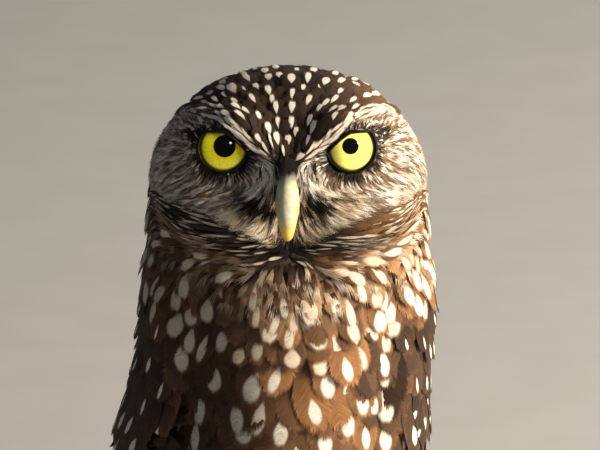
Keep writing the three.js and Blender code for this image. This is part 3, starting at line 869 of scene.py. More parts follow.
def fringed(rows, columns, fringe, closed=0.86, tip=0.5, seed=0):
    """A vane closed over `closed` of its width, with a fringe of single barbs round its edge and tip."""
    rng = np.random.default_rng(seed)
    end = 0.5 + closed / 2
    t, s = np.meshgrid(np.linspace(0.02, 0.98, rows), np.linspace(-1, 1, columns), indexing="ij")
    wide = np.maximum(vane_outline(t, tip), 0.12) * closed
    points = np.stack([t * end, s * wide], -1).reshape(-1, 2)
    barbs = []
    for side in (-1, 1):
        for i in range(fringe):
            at = min(0.98, 0.25 + 0.73 * (i + 0.5 + 0.3 * rng.normal()) / fringe)
            lean = smooth(0.6, 1.0, at)
            root = np.array([at * end, side * vane_outline(at, tip) * closed * 0.92])
            along_shaft = mix(0.11, (1 - end) * (0.6 + 0.4 * rng.random()), lean)
            outward = mix((1 - closed) * (0.4 + 0.8 * rng.random()), 0.03, lean)
            thick = 0.5 / fringe
            barbs.extend([root - (thick, 0), root + (thick, -side * 0.05),
                          root + (along_shaft, side * outward)])
    for across in np.linspace(-0.34, 0.34, max(5, fringe // 4)):
        root = np.array([end * 0.94, across])
        barbs.extend([root - (0, 0.05), root + (0, 0.05), (mix(0.94, 1.0, rng.random()), across * 1.15)])
    fans = np.arange(len(barbs)).reshape(-1, 3) + len(points)
    return wound(np.concatenate([points, barbs]), np.concatenate([grid_faces(rows, columns), fans]))


def vaned(rows, columns=5, tip=0.55):
    """A smooth closed vane with a rounded tip."""
    t, s = np.meshgrid(np.linspace(0, 1, rows) ** 0.9, np.linspace(-1, 1, columns), indexing="ij")
    points = np.stack([t, s * np.maximum(0.1, vane_outline(t, tip))], -1).reshape(-1, 2)
    return wound(points, grid_faces(rows, columns))


# %% Patterns for each kind of feather
FORMS = {
    "contour": [fringed(10, 5, 44, 0.76, 0.66, seed=k) for k in range(6)],
    "small": [fringed(8, 4, 24, 0.80, 0.6, seed=k + 10) for k in range(5)],
    "brow": [fringed(7, 3, 14, 0.7, 0.4, seed=k + 15) for k in range(5)],
    "loose": [barbed(15, sweep=0.26, fray=0.3, seed=k + 20, tips=6) for k in range(4)],
    "plume": [tuft(7, seed=k + 30) for k in range(6)],
    "down": [tuft(9, 0.2, seed=k + 36) for k in range(5)],
    "covert": [fringed(10, 5, 24, 0.92, 0.6, seed=k + 40) for k in range(4)],
    "flight": [vaned(18, 7, 0.74)],
}
print("triangles in a feather:", {name: len(form[0][1]) for name, form in FORMS.items()})

# %% [markdown]
# ## Laying feathers on a surface
# A feather hugs the body: its shaft is walked along the skin in four steps, each turned by the lie
# of the coat at that place, and the barbs are hung on that bent shaft. The tip stands off the skin
# by the coat's depth, so that each feather covers the roots of the next.

# %% Walk the shafts
STEPS = 4


def skin_tree(surface):
    return BVHTree.FromObject(surface, bpy.context.evaluated_depsgraph_get())


def walk(tree, roots, ups, lengths, lie, hug=1.4):
    """Shafts on a skin: places, sideways and up, each as feather, step, xyz. hug is how far a step is
    pulled back to the skin: past the skin's end a feather hangs free."""
    place, up = roots.copy(), ups.copy()
    places, sideways, ups_out = [], [], []
    for step in range(STEPS + 1):
        way = across_surface(lie(place), up)
        places.append(place)
        sideways.append(np.cross(up, way))
        ups_out.append(up)
        if step == STEPS:
            break
        moved = place + way * (lengths / STEPS)[:, None]
        near = [tree.find_nearest(Vector(p * MM)) for p in moved]
        place = np.array([tuple(hit[0]) for hit in near]) / MM
        off = moved - place
        gap = np.linalg.norm(off, axis=1, keepdims=True)
        place = place + off * np.clip(1 - hug / np.maximum(gap, 1e-6), 0, 1)
        up = unit(np.array([tuple(hit[1]) for hit in near]) * 0.7 + up * 0.3)
    return (np.stack(v, 1) for v in (places, sideways, ups_out))


# %% Markings for a number of feathers
PLAIN_MARKS = {"edge": 0.0, "bars": 0.0, "bar_reach": 0.0, "streak": 0.0,
               "spot_at": 0.8, "spot_long": 0.18, "spot_wide": 0.5, "spot_amount": 0.0}


def looks(count, base, rng, mark=np.array([0.80, 0.73, 0.64]), vary=0.12, **more):
    """Markings for a number of feathers: a base colour and, where given, a spot, bars, edge or streak."""
    look = {"base": base * (1 + vary * rng.normal(size=(count, 1))), "mark": mark * np.ones((count, 3))}
    for key, value in PLAIN_MARKS.items():
        look[key] = more.get(key, value) * np.ones(count)
    return look


print("numbers for each feather:", ", ".join(PLAIN_MARKS))


# %% Hang feathers on their shafts
ROOM = 0.0015  # how much of the unwrap one feather takes


def part_way(values, pick, at):
    """What values, as feather, step, xyz, are at given numbers of steps down the picked shafts."""
    i = at.astype(int)
    f = (at - i)[None, :, None]
    return values[pick][:, i] * (1 - f) + values[pick][:, i + 1] * f


def lay(name, form, shafts, widths, lifts, look, root_uv, seed, curl=0.12, tilt=0.0):
    """Hangs feathers on shafts. lifts is (at the root, at the tip) above the surface."""
    rng = np.random.default_rng(seed)
    count = len(shafts[0])
    kinds = rng.integers(0, len(FORMS[form]), count)
    chance = rng.random(count)
    numbers = {
        "plumage": np.concatenate([look["base"], look["edge"][:, None]], 1),
        "mark": np.concatenate([look["mark"], look["spot_amount"][:, None]], 1),
        "spot": np.stack([look["spot_at"], look["spot_long"], look["spot_wide"]], 1),
        "bars": np.stack([look["bars"], look["bar_reach"], look["streak"]], 1),
    }
    parts = []
    for kind, (corners, faces) in enumerate(FORMS[form]):
        pick = np.nonzero(kinds == kind)[0]
        if not len(pick):
            continue
        t, s = corners[:, 0], corners[:, 1]
        at = np.clip(t, 0, 0.9999) * STEPS
        places, sideways, ups = (part_way(v, pick, at) for v in shafts)
        half = (widths[pick] / 2)[:, None]
        low, high = (v[pick][:, None] for v in lifts)
        across = half * s[None]
        rise = mix(low, high, np.maximum(t, 0)[None] ** 0.8) - curl * half * s[None] ** 2 + tilt * across
        hung = places + sideways * across[..., None] + ups * rise[..., None]
        shape = hung.shape[:2]
        own = np.stack([np.broadcast_to(t, shape), np.broadcast_to(s, shape),
                        np.broadcast_to(chance[pick][:, None], shape)], -1)
        uv = root_uv[pick][:, None, :] + np.stack([own[..., 1], own[..., 0] * 2 - 1], -1) * ROOM
        first = (np.arange(len(pick)) * len(corners))[:, None, None]
        part = {"points": hung.reshape(-1, 3), "faces": (faces[None] + first).reshape(-1, 3),
                "uv": uv.reshape(-1, 2), "place": own.reshape(-1, 3)}
        part.update({key: np.repeat(value[pick], len(corners), axis=0) for key, value in numbers.items()})
        parts.append(part)
    offset = np.cumsum([0] + [len(part["points"]) for part in parts])
    for part, first in zip(parts, offset):
        part["faces"] += first
    whole = {key: np.concatenate([part[key] for part in parts]) for key in parts[0]}
    made = mesh_object(name, whole.pop("points"), whole.pop("faces"), PLUMAGE, uv=whole.pop("uv"), **whole)
    print(name, count, "feathers,", len(made.data.polygons), "triangles")
    return made


# %% Unwraps
def spread_uv(u, v):
    """Fills the unit square, with a margin, from any two coordinates."""
    return np.stack([mix(0.01, 0.99, (k - k.min()) / max(np.ptp(k), 1e-6)) for k in (u, v)], -1)


def round_body(points):
    """An unwrap of the skin's own shape: the angle round the body and the height."""
    body = points - BODY_SHIFT
    return spread_uv(np.arctan2(body[:, 0], -body[:, 1]), body[:, 2])


def round_head(points):
    """An unwrap of the head: the turn about its upright axis and the angle down from its crown."""
    local = to_head(points) + np.array([0, 0, 8])
    return spread_uv(np.arctan2(local[:, 0], -local[:, 1]),
                     np.arctan2(np.hypot(local[:, 0], local[:, 1]), local[:, 2]))


print("unwrap of the skin:", round_body(points).min(0), "to", round_body(points).max(0))

# %% [markdown]
# ## The lie of the coat
# Feathers lie the way they grow. Crown feathers point back from the bill and face feathers stand out
# round each eye like rays. Below the disc they leave the bill's tip sideways and turn down, and from
# there everything points to the tail, and a little back along the flanks. A field of directions that
# blends these, worked out at any point, needs no combing and has no seam.


# %% Directions
BILL_ROOT = np.array([0, -31, -12])  # face feathers beside the bill lead away from here
CROWN_START = np.array([0, -33, -9])  # and those of the crown from here


def field(x, y, z):
    """One direction for each point, from numbers or arrays."""
    return unit(np.stack(np.broadcast_arrays(x, y, z), -1).astype(float))


def turned(first, second, amount):
    """A direction between two, by an amount for each point."""
    return unit(mix(first, second, amount[:, None]))


def lie_head(points):
    at = Where(points)
    local = np.stack([at.x, at.y, at.up], -1)
    side = np.sign(at.x + 1e-6)
    away = unit(local - np.stack([side * EYE_OUT, 0 * side - EYE_DEPTH - 4, 0 * side], -1))
    beard = field(side * (0.1 + 0.05 * at.out), -0.1, -1)
    face = turned(away, beard, smooth(11, 5, at.out) * smooth(-2, -8, at.up))
    face = turned(face, unit(local - BILL_ROOT), 0.8 * smooth(-6, -14, at.up) * smooth(3, 9, at.out))
    middle = smooth(12, 3, at.out)  # there the feathers turn down sooner, so that no parting shows
    below = smooth(mix(4, 0.5, middle), mix(25, 8, middle), at.under_disc)
    rise = (DISC_FOOT(at.out + 1) - DISC_FOOT(at.out - 1)) / 2
    sideways = field(np.clip(at.x / 4, -1, 1), 0.2, rise - 0.12)
    face = turned(face, turned(sideways, np.array([0, 0, -1.0]), below), smooth(-2, 1.0, at.under_disc))
    slope = (BROW(at.out + 1) - BROW(at.out - 1)) / 2 + 0.08
    past_brow = smooth(0.5, 1.3, at.over_brow / BROW_WIDE(at.out))
    top = turned(field(side, 0.35, slope), unit(local - CROWN_START), past_brow)
    way = turned(face, top, smooth(-0.5, 1.0, at.over_brow))
    way = turned(way, field(0 * side, 0.5, -1), smooth(6, -4, -at.y) * smooth(8, -12, at.up))
    return way @ HEAD_TURN.T


def lie_body(points):
    at = Where(points)
    flank = np.clip(np.abs(at.body_x) / 34, 0, 1) * smooth(-30, 10, at.body_y)
    flare = 0.2 * np.sign(at.body_x) * smooth(100, 150, at.z)
    return field(flare * (1 - flank), 0.25 * flank + 0.35 * smooth(5, 30, at.body_y), -1)


def lie_all(points):
    front = smooth(10, -10, (points - BODY_SHIFT)[:, 1])
    on_head = smooth(mix(166, 152, front), mix(180, 172, front), points[:, 2])
    return turned(lie_body(points), lie_head(points), on_head)


print("the coat lies", lie_all(HEAD_AT[None] + (0, 20, -10)).round(2)[0], "behind the head")

# %% [markdown]
# ## Colours and marks
# Every tract has a base colour and a mark, which is white drops on the crown, rounded spots on the
# breast and bars on the belly. White isn't pure and black isn't empty, as on a real bird. Chance comes
# from seeded generators, so that each run grows the same owl.

# %% Colours of the plumage
DARK = np.array([0.027, 0.015, 0.009])
BROWN = np.array([0.115, 0.058, 0.030])
WARM = np.array([0.25, 0.118, 0.047])
BUFF = np.array([0.56, 0.41, 0.27])
CREAM = np.array([0.76, 0.62, 0.43])
WHITE = np.array([0.78, 0.715, 0.62])
BLACK = np.array([0.012, 0.009, 0.007])
GREY = np.array([0.46, 0.40, 0.34])
SOOT = np.array([0.065, 0.038, 0.023])


def some(share, count, rng):
    """1 for a share of the feathers and 0 for the rest."""
    return (rng.random(count) < share) * 1.0


def spaced(roots, gap, rng):
    """1 for feathers picked so that no two stand nearer than the gap: spots lie evenly on a bird."""
    gap = gap * np.ones(len(roots))
    picked = []
    for i in rng.permutation(len(roots)):
        if not picked or (((roots[picked] - roots[i]) ** 2).sum(1) > gap[i] ** 2).all():
            picked.append(i)
    chosen = np.zeros(len(roots))
    chosen[picked] = 1
    return chosen


def tint(first, second, amount):
    """A colour for each feather between two, by an amount for each."""
    return mix(first, second, np.asarray(amount)[:, None])


def painted_shade_right(at):
    """Painted shade: how far points lie right of the breast's middle, which the photo shows much darker."""
    return smooth(3, -12, at.body_x)


print("the plumage's white reflects", WHITE, "and its black", BLACK)


# %% Marks of the head
def crown_marks(at, rng):
    fine = smooth(-32, -14, at.y)  # the drops are slim near the bill
    nape = smooth(2, 22, at.y)
    painted_sunlight = smooth(6, 22, at.x)  # painted light: browner and brighter on the left, where the sun falls
    base = tint(tint(DARK, BROWN * 0.6, nape), BROWN * 1.2, 0.75 * painted_sunlight)
    drops = spaced(at.points, mix(2.1, mix(3.3, 5.2, nape), fine), rng)
    seam = (at.y > 1.5) * (at.y < 10)  # two pieces meet here, and their drops would crowd
    drops = drops * (1 - seam * some(0.5, at.count, rng))
    # painted shade: the drops are greyer on the right side
    return looks(at.count, base, rng, mark=WHITE * mix(0.78, 1.0, smooth(-16, 0, at.x))[:, None], edge=0.9,
                 spot_at=0.70 + 0.02 * rng.normal(size=at.count),
                 spot_long=mix(0.34, mix(0.29, 0.2, nape), fine) * (1 + 0.12 * rng.normal(size=at.count)),
                 spot_wide=mix(0.42, mix(0.35, 0.48, nape), fine) * (1 + 0.15 * rng.normal(size=at.count)),
                 spot_amount=drops, vary=0.2)


def brow_marks(at, rng):
    lid_side = smooth(1.2, 0.5, at.over_brow) * (1 - smooth(10, 20, at.out))
    shade = smooth(12, 20, at.out) * (at.x < 0)  # painted shade: the right brow is darker beyond the eye, where shade falls
    share = np.maximum(mix(0.75, 0.92, smooth(10, 20, at.out)) * (1 - 0.5 * shade), lid_side)
    tone = tint(WHITE, GREY * 1.3, 0.5 * rng.random(at.count))
    buff = rng.random(at.count) * smooth(2, 12, at.out) * (1 - 0.7 * shade)
    return looks(at.count, tint(DARK * 1.8, BUFF * 0.6, buff), rng, mark=tone, edge=0.8, spot_at=0.64,
                 spot_long=0.42, spot_wide=mix(0.85, 0.6, rng.random(at.count)),
                 spot_amount=some(share, at.count, rng) * 0.95)


def patch(at, out, up, wide, high, outer, inner):
    """1 inside an oval on the face whose middle is at (out, up), 0 outside, with a soft edge."""
    return smooth(outer, inner, np.hypot((at.out - out) / wide, (at.up - up) / high))


def face_marks(at, rng):
    """Rays of the face: the share of pale ones changes from place to place, and the rest are dark."""
    out, up = at.out, at.up
    plumes = patch(at, 6.8, -5.8, 1.2, 1.3, 3.2, 1.4)  # white ones between eye and bill
    bow = smooth(3.6, 1.5, np.abs(up + 17.4 - 0.1 * out)) * smooth(2, 5, out) * smooth(19, 13, out)
    pale = 0.5 + 0.14 * smooth(22, 30, out)
    for share, there in (
            (0.1, smooth(2.8, 0.6, past_lid(at))),  # a dark ring round the lids
            (0.0, smooth(3.5, 1.5, out) * smooth(-17.5, -20, up)),  # the chin
            (0.04, patch(at, 4.6, -11.0, 1.25, 1.5, 3.4, 1.5)),  # a dark patch beside the bill
            (1.0, plumes),
            (0.9, bow),  # a pale bow from the bill's tip outwards
            (0.05, smooth(2.4, 1.2, out) * smooth(-10, -6, up)),  # over the bill
            (0.12, smooth(2.0, 0.5, -at.under_disc)),  # at the disc's foot
            (0.15, patch(at, EYE_OUT + 7.2, 3.4, 1.0, 1.0, 3.0, 1.2))):  # the eye's outer corner
        pale = mix(pale, share, there)
    light = some(1.0, at.count, rng) * (rng.random(at.count) < pale)
    tone = tint(GREY * 1.35, CREAM, smooth(18, 10, out) * smooth(-4, -12, up))
    tone = tint(tone, WHITE, some(0.28 + 0.6 * plumes, at.count, rng))
    shade = tint(SOOT, WARM * 1.1, rng.random(at.count) ** 0.7 * smooth(5, 15, out) * 0.85)
    shade = tint(shade, BLACK, smooth(0.35, 0.12, pale))
    return looks(at.count, tint(shade, tone, light), rng, mark=GREY, vary=0.28,
                 streak=0.3 * (1 - light) * (pale > 0.3))


# %% Marks of the neck and body
def ruff_marks(at, rng):
    """A dark rim with thin streaks, a soft pale collar under it, and large spots on a warm brown."""
    below, count = at.under_disc, at.count
    rim = smooth(7.4, 6.2, below) * smooth(4, -4, at.y)
    back = smooth(-16, 6, at.body_y)
    shoulder = smooth(142, 112, at.turn + 6 * rng.normal(size=count)) * smooth(168, 154, at.z)
    collar = smooth(20, 12, below) * (1 - rim) * (1 - back)
    # painted shade: the ruff's right side is darker, and its spots dimmer and further apart
    ruff_painted_shade = painted_shade_right(at) * (1 - back)
    base = tint(BROWN * 0.8, WARM, rng.random(count))
    base = tint(base, mix(WARM, BUFF, 0.45), collar * rng.random(count))
    base = tint(base, mix(DARK, BROWN * 0.6, 0.5), np.maximum(np.maximum(back, shoulder), 0.85 * ruff_painted_shade))
    sunlit_and_outer_paler = np.maximum(smooth(6, 18, at.x), 0.5 * smooth(28, 36, at.out))  # painted light: paler on the sunlit left, and paler outside too
    black = rim * mix(1.0, rng.random(count), smooth(2, 6, below)) * (1 - 0.65 * sunlit_and_outer_paler)
    base = tint(base, BLACK * 1.6, black * 0.95)
    shaded = mix(1, 0.8, rim) * mix(1, 0.66, ruff_painted_shade)
    tone = tint(WHITE, BUFF * 1.25, 0.6 * rng.random(count)) * shaded[:, None]
    streaked = some(0.5, count, rng)
    apart = mix(mix(3.6, 2.9, collar), 5.0, back) * mix(1.0, 1.25, ruff_painted_shade)
    picked = mix(spaced(at.points, apart, rng), streaked, np.round(rim))
    wide = mix((0.34 + 0.26 * rng.random(count)) * (1 - 0.25 * back), 0.2 + 0.32 * rng.random(count), rim)
    long = mix(0.20 + 0.1 * rng.random(count), 0.25 + 0.15 * rng.random(count), rim)
    return looks(count, base, rng, mark=tone, edge=mix(1.3, 0.5, rim), spot_at=mix(0.68, 0.6, rim),
                 spot_long=long + 0.1 * collar, spot_wide=wide, spot_amount=picked * 0.95, vary=0.2)


def fluff_marks(at, rng):
    base = tint(mix(WARM, BUFF, 0.4), mix(BUFF, WHITE, 0.6), rng.random(at.count))
    base = tint(base, BROWN * 0.6, some(0.35, at.count, rng))
    # painted shade: the fluff is darker on the right side
    return looks(at.count, tint(base, BROWN * 0.8, 0.75 * painted_shade_right(at)), rng, vary=0.2)


def breast_marks(at, rng):
    base = tint(BROWN, WARM, rng.random(at.count))
    flank = smooth(154, 124, at.turn + 8 * rng.normal(size=at.count))
    # painted shade: the breast's right side is darker, and its spots greyer and further apart
    base = tint(base, DARK * 1.5, np.maximum(flank, 0.92 * painted_shade_right(at)))
    size = rng.random(at.count)
    long = 0.19 + 0.11 * rng.random(at.count)
    apart = (4.6 + 1.6 * size) * mix(1.0, 1.3, painted_shade_right(at))
    tone = WHITE * mix(1.0, 0.62, painted_shade_right(at))[:, None]
    return looks(at.count, base, rng, mark=tone, edge=0.8, spot_at=0.66, spot_long=long,
                 spot_wide=0.26 + 0.24 * size, spot_amount=spaced(at.points, apart, rng), vary=0.2)


def belly_marks(at, rng):
    pale = smooth(112, 86, at.z + 6 * rng.normal(size=at.count))
    # painted shade: the belly is darker on the right side
    base = tint(tint(WARM * 0.9, BROWN, pale), DARK * 1.8, 0.75 * painted_shade_right(at))
    return looks(at.count, base, rng, mark=mix(WHITE, BUFF * 1.3, 0.25), edge=0.25,
                 bars=mix(1.5, 2.2, rng.random(at.count)), bar_reach=0.95, streak=pale * 0.5, vary=0.2)


def thigh_marks(at, rng):
    tone = tint(BUFF * 0.8, mix(BUFF, WHITE, 0.7), rng.random(at.count))
    return looks(at.count, tone, rng, mark=WHITE, edge=0.3, vary=0.1)


def shank_marks(at, rng):
    tone = tint(BUFF * 0.9, mix(BUFF, WHITE, 0.6), rng.random(at.count))
    return looks(at.count, tone, rng, vary=0.08)


def wing_marks(at, rng):
    near_breast = smooth(108, 128, at.turn + 5 * rng.normal(size=at.count))
    wide = 0.18 + 0.03 * rng.normal(size=at.count)
    return looks(at.count, tint(DARK * 1.5, BROWN * 0.7, near_breast), rng, mark=WHITE * 0.96, edge=0.8,
                 spot_at=0.76, spot_long=0.16, spot_wide=wide, spot_amount=spaced(at.points, 5.8, rng),
                 vary=0.2)


def back_marks(at, rng):
    return looks(at.count, DARK * 1.6, rng, mark=WHITE * 0.95, edge=0.8, spot_at=0.76, spot_long=0.16,
                 spot_wide=0.34, spot_amount=spaced(at.points, 5.4, rng), vary=0.2)


MARKS = {"crown": crown_marks, "brow": brow_marks, "face": face_marks, "ruff": ruff_marks,
         "breast": breast_marks, "belly": belly_marks, "thigh": thigh_marks, "wing": wing_marks,
         "back": back_marks}
print("tracts with marks of their own:", ", ".join(MARKS))

# %% [markdown]
# ## The skin's colours
# Where feathers part, the skin under them must not show as a bare patch. It carries the same markings
# as the coat above it, softer: each corner takes the mean of base and mark colour that a feather
# rooted there would have.


# %% Paint the skin
points, normals = arrays_of(skin.data)
tract_words = tracts(points)
rgba = np.ones((len(points), 4), np.float32)
for word, marks in MARKS.items():
    there = tract_words == word
    look = marks(Where(points[there]), np.random.default_rng(5))
    share = 0.25 * look["spot_amount"] + 0.4 * look["bar_reach"]
    # the skin takes the coat's colours at 0.55, darker, as painted shade under the feathers
    rgba[there, :3] = np.clip(tint(look["base"], look["mark"], share) * 0.55, 0, 1)
    print(word, int(there.sum()), "corners of skin")
skin.data.color_attributes.new("plumage", "FLOAT_COLOR", "POINT").data.foreach_set("color", rgba.ravel())


def wear(made, look):
    """Gives a whole mesh one material and smooth shading."""
    made.data.materials.clear()
    made.data.materials.append(look)
    made.data.polygons.foreach_set("use_smooth", np.ones(len(made.data.polygons), bool))


wear(skin, SKIN)
tree = skin_tree(skin)
coat = []

# %% [markdown]
# ## The coat of the head and body
# Each tract grows as one piece. Lengths and widths are functions of the root's place, so that feathers
# shrink towards the bill without a seam. Where spots show, a spotted feather lies over its plain
# neighbours, because on the bird the spots are what is seen of the coat.


# %% Grow the tracts
def sized(size, at):
    """A size as given for every root, or from a function of where the root is."""
    return size(at) if callable(size) else np.full(at.count, float(size))


def grow(name, tract, form, spacing, length, width, lift, seed, uv=round_body, keep=None, sway=0.09,
         spot_lift=0.0, marks=None, hug=1.4):
    """One tract of the coat, from its roots to its colours. lift is at the root and at the tip."""
    rng = np.random.default_rng(seed)
    roots, ups = scatter(skin, tract_words == tract, spacing, seed)
    if keep is not None:
        chosen = keep(Where(roots))
        roots, ups = roots[chosen], ups[chosen]
    at = Where(roots)
    lengths = sized(length, at) * (1 + 0.1 * rng.normal(size=at.count))
    widths = sized(width, at) * (1 + 0.08 * rng.normal(size=at.count))
    tip_lift = sized(lift[1], at) * (1 + 0.15 * rng.normal(size=at.count))
    jitter = sway * rng.normal(size=(at.count, 3))
    shafts = tuple(walk(tree, roots, ups, lengths, lambda p: lie_all(p) + jitter, hug))
    look = (marks or MARKS[tract])(at, rng)
    above = (look["spot_amount"] > 0) * spot_lift
    lifts = (lift[0] + above * 0.5, tip_lift + above)
    coat.append(lay(name, form, shafts, widths, lifts, look, uv(roots), seed))


def clear_of_lid(at):
    return past_lid(at) > 0.45


def between(low, high):
    """Keeps the roots whose place along the head, front to back, lies between two soft limits."""
    def keep(at):
        place = at.y + 1.2 * np.sin(at.points[:, 0] * 1.7 + at.points[:, 2])
        return (place > low) & (place <= high) & clear_of_lid(at)
    return keep


def under_disc(at):
    """How far roots lie below the face disc's rim, where they are in front, and 50 behind."""
    return np.where(at.y < 0, at.under_disc, 50)


def below_disc(low, high):
    """Keeps the roots that lie so far below the face disc's rim."""
    return lambda at: (under_disc(at) > low) & (under_disc(at) <= high)


def by(place, low, high, first, last):
    """A size that changes from first to last as a place goes from low to high."""
    return lambda at: mix(first, last, smooth(low, high, place(at)))


def height_of(at):
    return at.points[:, 2]


def out_of(at):
    return at.out


def lid_size(small, large):
    return by(past_lid, 0.5, 9, small, large)


def face_length(at):
    return lid_size(3.0, 9.0)(at) * mix(1, 0.5, smooth(-8, -1, under_disc(at)))


# %% The body's tracts
# name, tract, form, spacing, length, width, lifts and seed, then what else the tract needs
grow("coat_belly", "belly", "loose", 3.0, 18, 10, (0.3, 3.0), 11)
grow("coat_thighs", "thigh", "down", 1.4, 13, 3.4, (0.2, 2.8), 12, sway=0.12, hug=0.5)
grow("coat_back", "back", "contour", 3.8, 15, 10, (0.3, 2.8), 13, spot_lift=0.8)
grow("coat_wings", "wing", "covert", 3.7, by(height_of, 110, 160, 19, 12), by(height_of, 110, 160, 10.5, 8),
     (0.5, by(height_of, 118, 135, 4.0, 2.6)), 14, sway=0.06, spot_lift=0.7)
grow("coat_breast", "breast", "contour", 3.9, 16, 10.5, (0.3, 3.0), 15, spot_lift=0.6)
grow("coat_rim", "ruff", "brow", 1.3, by(out_of, 1, 9, 6, 11), 2.1, (0.2, 2.0), 16, keep=below_disc(-1, 8),
     sway=0.1, spot_lift=0.2)
grow("coat_ruff", "ruff", "contour", 2.8, by(under_disc, 8, 20, 9.5, 12.5), by(under_disc, 8, 20, 5.0, 8.0),
     (0.2, 2.5), 26, keep=below_disc(8, 90), sway=0.12, spot_lift=0.5)
grow("coat_fluff", "ruff", "down", 1.7, 6.5, 2.4, (0.3, 2.9), 36, keep=below_disc(5, 19), sway=0.2,
     marks=fluff_marks)

# %% The head's tracts
grow("coat_forehead", "crown", "small", 1.7, 6.2, 3.5, (0.1, 1.2), 17, uv=round_head,
     keep=between(-60, -21), sway=0.05, spot_lift=0.3)
grow("coat_crown", "crown", "small", 2.4, 9.0, 5.4, (0.1, 1.8), 18, uv=round_head,
     keep=between(-21, 6), sway=0.06, spot_lift=0.4)
grow("coat_nape", "crown", "contour", 3.2, 12, 7.5, (0.2, 2.2), 19, uv=round_head,
     keep=between(6, 60), sway=0.08, spot_lift=0.4)
grow("coat_brow", "brow", "brow", 0.95, 6.2, by(out_of, 8, 22, 1.2, 1.9), (0.3, 1.3), 20, uv=round_head,
     keep=clear_of_lid)
grow("coat_face", "face", "plume", 0.52, face_length, lid_size(0.7, 1.25), (0.05, lid_size(0.5, 1.6)), 21,
     uv=round_head, keep=clear_of_lid, sway=0.13)

# %% [markdown]
# ## Wing and tail feathers
# A folded wing shows its long feathers in tiers, each laid over the roots of the one below: primaries
# at the foot, then secondaries, then the coverts. Scattered feathers would never line up like that, so
# each one is a vane from a named root to a named tip on the cloak, the smooth surface that both folded
# wings and the back lie on. The edge nearer the belly stands highest.

# %% Feathers of the wings
TIERS = [
    # name, count, roots and tips (height, degrees) of the first and last, bend, width, lifts, tilt
    ("primaries", 10, ((126, 122), (116, 62)), ((46, 70), (54, 14)), -6, 12.5, (1.2, 1.8), 0.16),
    ("secondaries", 13, ((118, 114), (124, 20)), ((84, 98), (62, 4)), 0, 12.5, (1.4, 2.8), 0.13),
    ("greater coverts", 13, ((124, 119), (128, 20)), ((100, 112), (86, 7)), 0, 11, (1.0, 3.6), 0.13),
    ("median coverts", 12, ((132, 122), (136, 28)), ((112, 116), (104, 22)), 0, 10.5, (1.2, 4.2), 0.12),
    ("scapulars", 10, ((154, 46), (126, 10)), ((128, 52), (84, 5)), 0, 12, (1.4, 4.6), 0.04),
]
QUILLS = ("primaries", "secondaries")
DOWN_SHAFT = np.linspace(0, 1, STEPS + 1)


def on_cloak(side, roots, tips):
    """Shafts on the cloak: places, sideways and up, each as feather, step, xyz."""
    z, degrees = (mix(roots[:, k, None], tips[:, k, None], DOWN_SHAFT) for k in (0, 1))
    places = cloak(side, z, degrees, 0.0)
    way = unit(np.gradient(places, axis=1))
    ups = across_surface(cloak(side, z, degrees, 1.0) - places, way)
    return places, np.cross(ups, way), ups


def tier_marks(name, count, rng):
    if name in QUILLS:
        return looks(count, DARK * 1.9, rng, mark=mix(BUFF, WHITE, 0.3), edge=0.5,
                     bars=6 if name == "primaries" else 4.2, bar_reach=0.85, vary=0.1)
    ends = some(0.6, count, rng)  # these end in a spot, and the others are barred
    return looks(count, DARK * 1.8, rng, mark=WHITE * 0.95, edge=0.7,
                 spot_at=0.66 + 0.2 * rng.random(count), spot_long=0.1 + 0.06 * rng.random(count),
                 spot_wide=0.2 + 0.2 * rng.random(count), spot_amount=ends,
                 bars=2.2 + 1.6 * rng.random(count), bar_reach=0.5 * (1 - ends), vary=0.15)


def wing_tier(side, number, name, count, roots, tips, bend, width, lifts, tilt):
    rng = np.random.default_rng(40 + number + (100 if side == "left" else 0))
    t = np.linspace(0, 1, count)[:, None]
    root, tip = (mix(np.array(first, float), np.array(last, float), t) for first, last in (roots, tips))
    tip[:, 0] += bend * np.sin(np.pi * np.minimum(1, t[:, 0] * 1.4)) + 0.8 * rng.normal(size=count)
    shafts = on_cloak(side, root, tip)
    form = "flight" if name in QUILLS else "covert"
    unwrap = spread_uv(root[:, 1], root[:, 0] + 3 * np.arange(count))
    coat.append(lay(f"{name.replace(' ', '_')}_{side}", form, shafts, np.full(count, float(width)),
                    [np.full(count, lift) for lift in lifts], tier_marks(name, count, rng), unwrap,
                    50 + number, tilt=-tilt * SIDES[side]))


for side in SIDES:
    for number, tier in enumerate(TIERS):
        wing_tier(side, number, *tier)

# %% Feathers of the tail
TAIL_ROOT, TAIL_TIP = np.array([28.0, 84.0]), np.array([66.0, 22.0])  # (y, z)
TAIL_STEP = 0.5  # how far each feather lies below its inner neighbour
TAIL_ARCH = 0.004  # how fast the fan's edges bend down


def tail_shafts(places, near, far, root_spread, tip_spread, lift):
    """Shafts down the tail. places counts the feathers out from the middle, near and far are runs."""
    down = unit(np.array([0, *(TAIL_TIP - TAIL_ROOT)]))
    up = np.array([0, -down[2], down[1]])
    run = mix(near, far[:, None], DOWN_SHAFT)
    x = places[:, None] * mix(root_spread, tip_spread, DOWN_SHAFT)
    height = lift - TAIL_STEP * np.abs(places)[:, None] - TAIL_ARCH * x * x
    spot = np.array([0, *TAIL_ROOT]) + run[..., None] * down + height[..., None] * up + BODY_SHIFT
    spot[..., 0] += x
    way = unit(np.gradient(spot, axis=1))
    ups = across_surface(np.broadcast_to(up, way.shape), way)
    return spot, np.cross(ups, way), ups


def tail_tier(name, count, near, reach, root_spread, tip_spread, lift, width, marks, form, seed):
    rng = np.random.default_rng(seed)
    places = np.arange(count) - (count - 1) / 2
    far = reach - 0.9 * np.abs(places) + 0.6 * rng.normal(size=count)
    shafts = tail_shafts(places, near, far, root_spread, tip_spread, lift)
    lifts = (np.zeros(count), np.full(count, 0.2))
    coat.append(lay(name, form, shafts, np.full(count, float(width)), lifts, marks(count, rng),
                    spread_uv(places, places), seed, curl=0.05))


